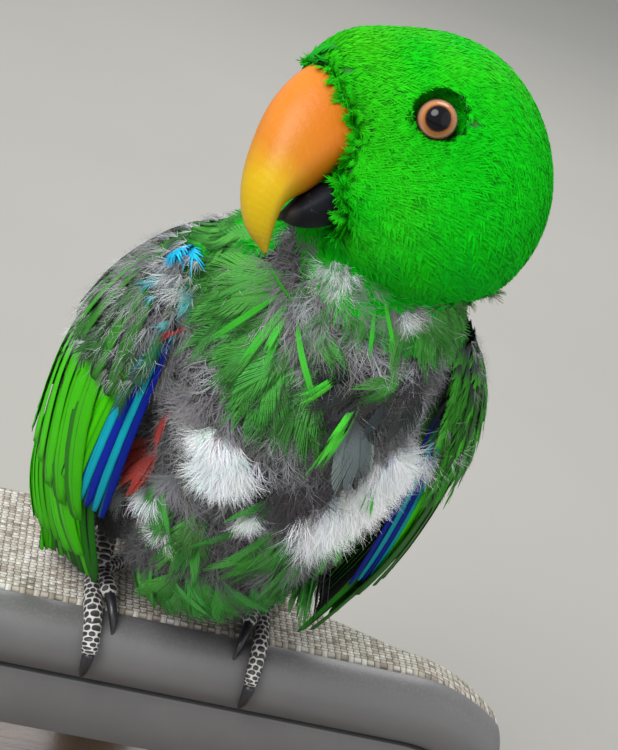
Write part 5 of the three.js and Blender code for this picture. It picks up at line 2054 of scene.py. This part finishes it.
@dataclass
class Tail:
    """Hanging tail: pairs of vanes under one another, with coverts over and under the root."""

    shop: Workshop
    root: Point = (2, 48, 19)
    slope: float = math.radians(72)
    length: float = 112.0
    half: float = 8.6
    pairs: int = 6
    fan: float = math.radians(2.6)
    step: float = 0.95
    thickness: float = 0.2
    seed: int = 80

    def _spine(self, lateral: Array, fan: Array, start: float, length: Array, height: Array,
               sag: float) -> tuple[Array, Array]:
        """Draw straight, slightly sagging spines down the tail.

        Args:
            lateral: How far to the side each feather's root is.
            fan: How far each one is turned outwards.
            start: How far down the tail the roots are.
            length: How long each feather is.
            height: How far each one lies above the tail's middle plane.
            sag: How much farther from that plane the tips are.

        Returns:
            The spines' points and the tail's normals at them.
        """
        way = np.array([0, math.cos(self.slope), -math.sin(self.slope)])
        out = np.array([0, math.sin(self.slope), math.cos(self.slope)])
        side = np.cross(way, out)
        turned = way * np.cos(fan)[:, None] - side * np.sin(fan)[:, None]
        t = np.linspace(0, 1, 6)[:, None]
        lateral, length, height = (row[:, None, None] for row in (lateral, length, height))
        spines = (np.array(self.root) + way * start + turned[:, None] * (length * t)
                  + np.array([1.0, 0, 0]) * lateral + out * (height + sag * t * t))
        return spines, np.broadcast_to(out, spines.shape).copy()

    def build(self) -> None:
        """Lay the tail feathers and coverts."""
        draw = np.random.default_rng(self.seed)
        cloud = Cloud("tail_vanes")
        k = np.repeat(np.arange(self.pairs), 2)
        sign = np.tile([-1.0, 1.0], self.pairs)
        lateral = sign * (self.half + 0.3 + 1.2 * k)
        length = self.length - 8 - 0.7 * k * k
        spines, normals = self._spine(lateral, sign * self.fan * k, 8.0, length, -self.step * k, -5.0)
        many = len(k)
        plume = shaded(Tint.TAIL, many, draw, 0.15)
        chart = np.stack([np.full(many, 0.5), (np.arange(many) + 0.5) / many], 1)
        lie = Lie(spines, normals, np.full(many, self.half), np.zeros(many), plume,
                  np.tile(Tint.JET, (many, 1)), chart)
        cloud.add(Shape.FLIGHT.templates()[0], lie, np.array([0.96, 0.9 / many]))
        finish = PlumageFinish("tail_plumage", root_fade=(0.0, 0.05), barbs=90.0, lean=0.25,
                               contrast=0.16, gloss=0.38, rim_from=(0.9, 1.1))
        thicken(cloud.piece(self.shop, finish, "tail_feathers", ["tail"]), self.thickness)
        self._coverts(draw)

    def _coverts(self, draw: Draw) -> None:
        """Lay rows of coverts over and under the tail's root."""
        cloud = Cloud("tail_coverts")
        for above, row in [(1, k) for k in range(5)] + [(-1, k) for k in range(4)]:
            c = np.linspace(-1, 1, 7 - row % 2)
            many = len(c)
            height = above * (4.6 - 0.5 * row - 3.0 * c * c) - (3.0 if above < 0 else 0.0)
            length = 34.0 - 3 * np.abs(c)
            spines, normals = self._spine(c * 11, c * 0.16, -8.0 + row * 5, length, height, -2.0 * above)
            colour = shaded(Tint.BACK, many, draw, 0.2)
            chart = np.stack([0.5 + 0.4 * c, np.full(many, 0.1 + 0.08 * row)], 1)
            add_mixed(cloud, Shape.COVERT, Lie(spines, normals * above, np.full(many, 6.4),
                                               draw.normal(0, 0.08, many), colour, colour * 0.8, chart))
        cloud.piece(self.shop, PlumageFinish("tail_covert_plumage", barbs=24.0), "tail_feathers")


# Hard parts


@dataclass
class Bill:
    """Upper and lower bill, drawn between ridge and cutting edge in the head's own frame."""

    shop: Workshop
    head: HeadForm
    upper_ridge: tuple = (
        (26, 21), (33.6, 18.8), (41.8, 10.4), (47.2, -1.6), (49.2, -11.5), (48, -19.5), (43.4, -25.8),
    )
    upper_edge: tuple = (
        (19, -4), (26, -6.2), (33, -10.6), (38.6, -13.6), (40.9, -17.5), (42, -21.8), (42.8, -25.4),
    )
    upper_half: tuple = (10.5, 10.5, 9.8, 8.4, 6.2, 3.6, 0.8)
    lower_ridge: tuple = ((19, -3.4), (26, -5.4), (31.5, -8.8), (35.6, -12.4), (38.4, -15.2))
    lower_edge: tuple = ((17, -14), (23, -17), (29, -19), (34.5, -19.2), (39, -17.6))
    lower_half: tuple = (7.6, 8.2, 7.8, 6.4, 3.4)
    nostril: Point = (30.2, 4.2, 20.4)
    nostril_radius: float = 1.3

    def _ring(self, ridge: tuple, edge: tuple, half: tuple, share: float) -> Callable[[Array], Ring]:
        """Draw the rings of one half of the bill.

        Args:
            ridge: Forward and up of the top line's knots.
            edge: Forward and up of the bottom line's knots.
            half: The half width at each knot.
            share: How high the rings' centres lie between the two lines.

        Returns:
            What gives the ring at each t.
        """

        def ring_at(t: Array) -> Ring:
            """Return centre, side, up and down at each t."""
            top, low = knots(ridge, t), knots(edge, t)
            high = self.head.at(top[:, 0], 0.0, top[:, 1])
            deep = self.head.at(low[:, 0], 0.0, low[:, 1])
            centre = deep * (1 - share) + high * share
            wide = self.head.axes()[1] * knots([[h] for h in half], t)
            return centre, wide, high - centre, deep - centre

        return ring_at

    def build(self) -> tuple[Ground, Ground]:
        """Make both halves, and return the upper and the lower one as ground."""
        upper = loft(self._ring(self.upper_ridge, self.upper_edge, self.upper_half, 0.36), 72, 64)
        ground = Ground(upper.copy())
        self._nostrils(upper)
        orange = BillFinish("bill_horn", (
            (0.0, (0.52, 0.15, 0.002)), (0.22, (0.49, 0.13, 0.003)), (0.4, (0.46, 0.15, 0.004)),
            (0.56, (0.5, 0.31, 0.003)), (0.76, (0.43, 0.29, 0.002)), (1.0, (0.3, 0.21, 0.002)),
        ))
        self.shop.cast(upper, "bill_upper_horn", orange, "bill_orange", ["bill_upper"])
        lower = loft(self._ring(self.lower_ridge, self.lower_edge, self.lower_half, 0.6), 56, 40)
        chin = Ground(lower.copy())
        black = ClawFinish("bill_black", base=(0.003, 0.0035, 0.006), worn=(0.01, 0.012, 0.018),
                           gloss=0.48, coat=0.0, shine=0.15)
        self.shop.cast(lower, "bill_lower_horn", black, "bill_black", ["bill_lower"])
        return ground, chin

    def _nostrils(self, bm: Mesh) -> None:
        """Sink a nostril on each side of the ridge's base."""
        radius = self.nostril_radius
        forward, aside, up = self.nostril
        for side in (-1, 1):
            middle = Vector(self.head.at(forward, side * aside, up))
            for vert in bm.verts:
                gap = (vert.co - middle).length
                if gap < 2 * radius:
                    vert.co -= vert.normal * radius * float(1 - ease(gap, 0.4 * radius, 2 * radius))


@dataclass
class Eyes:
    """Both eyes, each a wet ball in a ring of bare, folded lid."""

    shop: Workshop
    head: HeadForm
    radius: float = 4.85
    lid: float = 4.05
    tube: float = 0.46
    cornea: float = 0.4
    proud: float = 0.55
    ahead: float = 0.42
    droop: float = 0.04
    lid_seat: float = 0.5
    lid_squash: float = 0.96

    def build(self) -> None:
        """Make the eyes and their lids."""
        axes = self.head.axes()
        forward, side, up = self.head.eye
        for sign, name in ((-1, "right"), (1, "left")):
            out = unit(axes[1] * sign + axes[0] * self.ahead - axes[2] * self.droop)
            middle = self.head.at(forward, sign * side, up) + out * self.proud
            turn = Vector((0, 0, 1)).rotation_difference(Vector(out)).to_matrix().to_4x4()
            self._ball(Matrix.Translation(middle) @ turn, name)
            seat = middle + out * self.radius * self.lid_seat
            self._lid(Matrix.Translation(seat) @ turn, name)

    def _ball(self, place: Matrix, name: str) -> None:
        """Make one eyeball, with the cornea bulging."""
        bm = bmesh.new()
        bmesh.ops.create_uvsphere(bm, u_segments=64, v_segments=48, radius=self.radius)
        ring = bm.verts.layers.float.new("ring")
        for vert in bm.verts:
            off = math.hypot(vert.co.x, vert.co.y) / self.radius
            vert[ring] = 1.0 if vert.co.z < 0 else off
            if vert.co.z > 0:
                vert.co.z += self.cornea * float(1 - ease(off, 0.5, 0.95))
        bmesh.ops.transform(bm, matrix=place, verts=bm.verts)
        self.shop.cast(bm, f"eyeball_{name}", EyeFinish("eye"), "eye", [f"eye_{name}"])

    def _lid(self, place: Matrix, name: str) -> None:
        """Make one ring of lid, spun from a small round section and wrinkled."""
        bm = bmesh.new()
        bmesh.ops.create_circle(bm, segments=18, radius=self.tube)
        turn = Matrix.Rotation(math.pi / 2, 4, "X")
        bmesh.ops.transform(bm, matrix=Matrix.Translation((self.lid, 0, 0)) @ turn, verts=bm.verts)
        bmesh.ops.spin(bm, geom=bm.edges[:], angle=math.tau, steps=72, axis=(0, 0, 1), cent=(0, 0, 0),
                       use_merge=True)
        bmesh.ops.remove_doubles(bm, verts=bm.verts, dist=0.001)
        for vert in bm.verts:
            angle = math.atan2(vert.co.y, vert.co.x)
            vert.co.z += 0.1 * math.sin(29 * angle) * abs(math.sin(3 * angle + 1))
            vert.co.y *= self.lid_squash
        bmesh.ops.recalc_face_normals(bm, faces=bm.faces)
        bmesh.ops.transform(bm, matrix=place, verts=bm.verts)
        self.shop.cast(bm, f"eyelid_{name}", LidFinish("eyelid"), "eye")


@dataclass(frozen=True)
class Toe:
    """One toe for the left foot: its path, radii and the arc of its claw."""

    name: str
    path: tuple[Point, ...]
    radius: float
    tip: float
    reach: float
    way: Point
    bend: Point
    arc: float
    claw_radius: float


TOES = (
    Toe("outer_front",
        ((28.5, 1, 5.6), (28.4, -9, 3.4), (27.4, -18.6, 2.0), (26.5, -25.3, -2.9), (26.2, -27.9, -6.8)),
        2.7, 2.2, 13.0, (0.02, -0.2, -0.98), (-0.1, 1, 0), 0.8, 1.95),
    Toe("inner_front", ((26, 0, 5.6), (24.4, -6, 5.4), (23, -11.5, 5.0)),
        2.8, 2.45, 15.0, (-0.22, -0.96, 0.12), (-0.1, 0, -1), 1.45, 1.8),
    Toe("inner_rear", ((26, 2, 5.4), (20.5, 10, 3.7), (16, 17, 2.9)),
        2.7, 2.2, 10.5, (-0.3, 0.95, 0), (0, 0, -1), 0.5, 1.7),
    Toe("outer_rear", ((30, 2, 5.4), (35, 12, 3.8), (38.5, 22, 3.0)),
        2.7, 2.3, 11.5, (0.2, 0.97, 0), (0, 0, -1), 0.45, 1.7),
)


@dataclass
class Foot:
    """A scaled foot: shank, four toes with raised plates, and their claws."""

    shop: Workshop
    side: str
    sign: int
    heel: Point = (27.5, 9, 17)
    pad: Point = (28, 0, 5.6)
    shank: tuple[float, float] = (4.0, 4.0)
    row: float = 1.85

    def _own(self, point: Point) -> Point:
        """Return a point on this foot's own side."""
        return (self.sign * point[0], point[1], point[2])

    def build(self) -> None:
        """Make the foot and its claws."""
        whole = bmesh.new()
        limbs = [((self.heel, self.pad), self.shank, 60)]
        limbs += [(toe.path, (toe.radius, toe.radius, toe.tip), 130) for toe in TOES]
        for path, radii, along in limbs:
            merge(whole, self._scaled([self._own(p) for p in path], radii, along))
        self.shop.cast(whole, f"foot_{self.side}_scales", ScuteFinish("scutes"), "scaled_skin",
                       [f"foot_{self.side}"])
        for toe in TOES:
            self._claw(toe)

    def _scaled(self, path: list[Point], radii: tuple[float, ...], along: int) -> Mesh:
        """Draw a limb whose skin is raised in staggered plates, broader towards its end.

        Args:
            path: The knots of its middle line.
            radii: Its radius at evenly spaced knots.
            along: Rows of faces from end to end.

        Returns:
            The limb, with how far each vertex lies inside its plate as a layer.
        """
        bm = loft(limb_ring(path, radii), 52, along)
        layers = (bm.verts.layers.float[name] for name in ("along", "turn"))
        t, turn = (np.array([v[layer] for v in bm.verts]) for layer in layers)
        ahead = t * run_of(path) / self.row
        number = np.floor(ahead)
        many = np.where(t < 0.35, 8, np.where(t < 0.6, 6, 5))
        sway = 0.16 * np.sin(7.3 * number) + 0.1 * np.sin(turn * 3 + number)
        across = (turn / math.tau + 0.5) * many + 0.5 * (number % 2) + sway
        edge = np.abs(ahead - number - 0.5) * 2.0
        flank = np.abs(across % 1 - 0.5) * 2.0
        plate = 1 - ease((edge**2.4 + flank**2.4) ** (1 / 2.4), 0.45, 1.0)
        layer = bm.verts.layers.float.new("plate")
        for vert, raised in zip(bm.verts, plate):
            vert[layer] = raised
            vert.co += vert.normal * float(0.26 - 0.3 * raised)
        bmesh.ops.recalc_face_normals(bm, faces=bm.faces)
        return bm

    def _claw(self, toe: Toe) -> None:
        """Make one claw, an arc that narrows to its point."""
        ahead = unit(np.array(self._own(toe.way)))
        bend = np.array(self._own(toe.bend), float)
        bend = unit(bend - ahead * float(bend @ ahead))
        start = np.array(self._own(toe.path[-1])) - ahead * toe.tip * 0.6
        t = np.linspace(0, 1, 6)[:, None]
        path = start + ahead * toe.reach * np.sin(toe.arc * t) / toe.arc
        path = path + bend * toe.reach * (1 - np.cos(toe.arc * t)) / toe.arc
        radius = toe.claw_radius * np.array([1.0, 0.97, 0.88, 0.72, 0.5, 0.2])
        bm = loft(limb_ring([tuple(p) for p in path], tuple(radius)), 28, 40)
        name = f"claw_{self.side}_{toe.name}"
        self.shop.cast(bm, f"{name}_horn", ClawFinish("claw"), "claw_horn", [name])


@dataclass
class Perch:
    """A cut length of a seat back: a rolled, painted edge in front of a woven pad."""

    shop: Workshop
    start: float = -88.0
    end: float = 118.0
    roll: float = 12.0
    roll_y: float = -13.5
    panel: float = 7.4
    skirt: float = 46.0
    bend_from: float = 84.0
    bend_drop: float = 13.0
    pad_front: float = -12.5
    pad_thick: float = 22.0
    pad_round: float = 3.0
    pad_cuts: int = 36
    stations: int = 70
    pad_back: tuple = ((-88, 47), (-40, 46), (0, 35), (40, 17), (80, 2), (118, -4))
    gap: float = 0.3

    def build(self) -> None:
        """Make the rail and the pad."""
        self._rail()
        self._pad()

    def _drop(self, x: float) -> float:
        """Return how far the seat back has turned down at x."""
        share = min(1.0, max(0.0, (x - self.bend_from) / (self.end - self.bend_from)))
        return self.bend_drop * share**2

    def _rail(self) -> None:
        """Draw the rolled edge's outline and run it along the perch."""
        back = self.pad_front - self.gap
        arc = [(self.roll_y + self.roll * math.cos(a), -self.roll + self.roll * math.sin(a))
               for a in np.linspace(math.pi / 2, 1.5 * math.pi, 30)]
        front = back - self.panel
        outline = [(back, 0.0), *arc, (front + 0.5, -2 * self.roll - 0.1), (front, -2 * self.roll - 0.8),
                   (front, -self.skirt), (back, -self.skirt)]
        bm = bmesh.new()
        verts = [bm.verts.new((self.start, y, z)) for y, z in outline]
        face = bm.faces.new(verts)
        stride = (self.end - self.start) / self.stations
        bmesh.ops.spin(bm, geom=[face, *face.edges], angle=0.0, steps=self.stations, dvec=(stride, 0, 0),
                       axis=(1, 0, 0), cent=(0, 0, 0), use_duplicate=False)
        inner = [f for f in bm.faces if abs(f.normal.x) > 0.9
                 and self.start + 0.01 < f.calc_center_median().x < self.end - 0.01]
        bmesh.ops.delete(bm, geom=inner, context="FACES_ONLY")
        bmesh.ops.remove_doubles(bm, verts=bm.verts, dist=0.001)
        bmesh.ops.holes_fill(bm, edges=bm.edges[:], sides=0)
        bmesh.ops.triangulate(bm, faces=[f for f in bm.faces if len(f.verts) > 4])
        worn = bm.verts.layers.float.new("worn")
        for vert in bm.verts:
            vert[worn] = float(ease(vert.co.z, -5.0, -0.5))
            if vert.co.z > -self.skirt + 1:
                vert.co.z -= self._drop(vert.co.x)
        bmesh.ops.recalc_face_normals(bm, faces=bm.faces)
        piece = self.shop.cast(bm, "rail_sheet", PaintFinish("rail_paint"), "rail_paint", ["perch_rail"])
        edge = piece.modifiers.new("edge", "BEVEL")
        edge.width = 0.5 * MM
        edge.segments = 2
        edge.limit_method = "ANGLE"
        edge.angle_limit = math.radians(50)

    def _pad(self) -> None:
        """Draw the woven pad, rounded at its edges."""
        bm = bmesh.new()
        bmesh.ops.create_cube(bm, size=2.0)
        bmesh.ops.subdivide_edges(bm, edges=bm.edges[:], cuts=self.pad_cuts, use_grid_fill=True)
        xs, ys = zip(*self.pad_back)
        tall = self.pad_thick / 2
        for vert in bm.verts:
            a, b, c = vert.co
            x = self.start + (self.end - self.start) * (a + 1) / 2
            back = float(np.interp(x, xs, ys))
            half = (back - self.pad_front) / 2
            soft = min(self.pad_round, half - 0.5)
            y, z = b * half, c * tall
            inner_y = max(-half + soft, min(half - soft, y))
            inner_z = max(-tall + soft, min(tall - soft, z))
            out = Vector((0, y - inner_y, z - inner_z))
            if out.length > 1e-6:
                out = out.normalized() * max(abs(out.y), abs(out.z))
            vert.co = (x, self.pad_front + half + inner_y + out.y, inner_z + out.z - tall - self._drop(x))
        bmesh.ops.recalc_face_normals(bm, faces=bm.faces)
        pad = self.shop.cast(bm, "pad_cloth", WeaveFinish("pad_weave"), "pad_weave", ["perch_pad"])


@dataclass
class Stand:
    """A plain display stand: a dark wooden base and two steel rods."""

    shop: Workshop
    corner: float = 16.0
    rim: float = 1.6
    sides: int = 48

    def build(self) -> None:
        """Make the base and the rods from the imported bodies' own boxes."""
        self._base()
        for side in ("right", "left"):
            self._rod(side)

    def _base(self) -> None:
        """Make the base, a board with rounded corners and edges."""
        low, high = (np.array(c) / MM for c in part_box("stand_base"))
        middle, size = (low + high) / 2, high - low
        bm = bmesh.new()
        bmesh.ops.create_cube(bm, size=1.0)
        bmesh.ops.scale(bm, vec=size, verts=bm.verts)
        upright = [e for e in bm.edges if abs(e.verts[0].co.z - e.verts[1].co.z) > size[2] / 2]
        rounded = {"profile": 0.5, "affect": "EDGES", "material": -1}
        bmesh.ops.bevel(bm, geom=upright, offset=self.corner, segments=14, **rounded)
        rims = [e for e in bm.edges if abs(e.verts[0].co.z - e.verts[1].co.z) < 1e-4
                and len(e.link_faces) == 2 and e.calc_face_angle(0) > 1.0]
        bmesh.ops.bevel(bm, geom=rims, offset=self.rim, segments=4, **rounded)
        lift = Vector(middle) - Vector((0, 0, self.shop.top))
        bmesh.ops.translate(bm, vec=lift, verts=bm.verts)
        self.shop.cast(bm, "base_board", WoodFinish("base_wood"), "base_wood", ["stand_base"])

    def _rod(self, side: str) -> None:
        """Make one rod with a turned collar at its foot."""
        low, high = (np.array(c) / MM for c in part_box(f"stand_rod_{side}"))
        radius, tall = (high[0] - low[0]) / 2, high[2] - low[2]
        profile = [(0, 0), (radius + 2.2, 0), (radius + 2.4, 0.4), (radius + 2.4, 2.2), (radius + 1.8, 3.0),
                   (radius, 3.2), (radius, tall), (0, tall)]
        bm = bmesh.new()
        verts = [bm.verts.new((r, 0, z)) for r, z in profile]
        edges = [bm.edges.new(pair) for pair in zip(verts, verts[1:])]
        bmesh.ops.spin(bm, geom=edges, angle=math.tau, steps=self.sides, axis=(0, 0, 1), cent=(0, 0, 0),
                       use_merge=True)
        bmesh.ops.remove_doubles(bm, verts=bm.verts, dist=0.001)
        bmesh.ops.recalc_face_normals(bm, faces=bm.faces)
        foot = ((low[0] + high[0]) / 2, (low[1] + high[1]) / 2, low[2] - self.shop.top)
        bmesh.ops.translate(bm, vec=foot, verts=bm.verts)
        self.shop.cast(bm, f"rod_{side}", SteelFinish("rod_steel"), "rod_steel", [f"stand_rod_{side}"])


@dataclass
class Studio:
    """Plain pale floor and soft light: each lamp's name, place, size and watts."""

    lamps: tuple[tuple[str, Point, float, float], ...] = (
        ("key", (-0.75, -0.65, 1.25), 0.9, 25.0),
        ("fill", (1.1, -0.9, 0.8), 2.6, 10.0),
        ("back", (0.3, 1.1, 1.2), 1.0, 13.0),
    )
    sky: Colour = (0.93, 0.96, 1.0)
    sky_strength: float = 0.75

    def build(self) -> None:
        """Make the floor, the lamps and the pale surroundings."""
        bm = bmesh.new()
        bmesh.ops.create_grid(bm, x_segments=1, y_segments=1, size=8.0)
        mesh = bpy.data.meshes.new("floor")
        bm.to_mesh(mesh)
        bm.free()
        mesh.materials.append(FloorFinish("floor").material())
        floor = bpy.data.objects.new("floor", mesh)
        bpy.context.scene.collection.objects.link(floor)
        floor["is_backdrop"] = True
        for lamp in self.lamps:
            self._lamp(*lamp)
        world = bpy.data.worlds.new("surroundings")
        world.use_nodes = True
        light = world.node_tree.nodes["Background"]
        light.inputs[0].default_value = (*self.sky, 1.0)
        light.inputs[1].default_value = self.sky_strength
        bpy.context.scene.world = world
        bpy.context.scene.view_settings.view_transform = "Standard"

    @staticmethod
    def _lamp(name: str, place: Point, size: float, watts: float) -> None:
        """Place one soft lamp that faces the bird."""
        data = bpy.data.lights.new(name, "AREA")
        data.shape = "DISK"
        data.size = size
        data.energy = watts
        lamp = bpy.data.objects.new(name, data)
        lamp.location = place
        aim = Vector((0, -0.02, 0.2)) - Vector(place)
        lamp.rotation_mode = "QUATERNION"
        lamp.rotation_quaternion = aim.to_track_quat("-Z", "Y")
        bpy.context.scene.collection.objects.link(lamp)


def corners() -> list[list[float]]:
    """Return the box of what is shown, as plain lists."""
    return [list(corner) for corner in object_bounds()]


def main() -> None:
    """Build the parrot, its perch and its stand."""
    logging.basicConfig(level=logging.INFO, format="%(message)s")
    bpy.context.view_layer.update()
    shop = Workshop(top=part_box("perch_pad")[1].z / MM)
    lens, trunk, head = Lens(), TrunkForm(), HeadForm()
    wings = (
        WingForm(-1, ((39, -46, 137), (45, -57, 96), (42, -44, 45), (28, -14, 3)),
                 ((19, -17, 147), (30, 20, 120), (24, 46, 60), (36, 8, -4)), (12, 25, 32, 33, 23)),
        WingForm(1, ((39, -46, 137), (45, -57, 96), (45, -38, 45), (41, -15, 0)),
                 ((19, -17, 147), (30, 20, 120), (24, 54, 66), (32, 38, 5)), (12, 25, 29, 28, 17)),
    )
    lens.build(shop)
    Studio().build()
    ground = Skin(shop, wings, head).build()
    flesh = bmesh.new()
    for wing in wings:
        merge(flesh, wing.core())
    wing_ground = Ground(flesh)
    bill, chin = Bill(shop, head).build()
    Eyes(shop, head).build()
    HeadCoat(shop, head, ground, bill, chin).build()
    BodyCoat(shop, trunk, head, ground, wing_ground).build()
    Clumps(shop, lens, ground, trunk).build()
    Wing(shop, wings[0], "right", 0.95, 2.4).build()
    Wing(shop, wings[1], "left", 0.35, 0.0, 0.94, azure=0.0, dusk=0.8).build()
    Tail(shop).build()
    for side, sign in (("right", -1), ("left", 1)):
        Foot(shop, side, sign).build()
    Perch(shop).build()
    Stand(shop).build()


if __name__ == "__main__":
    main()
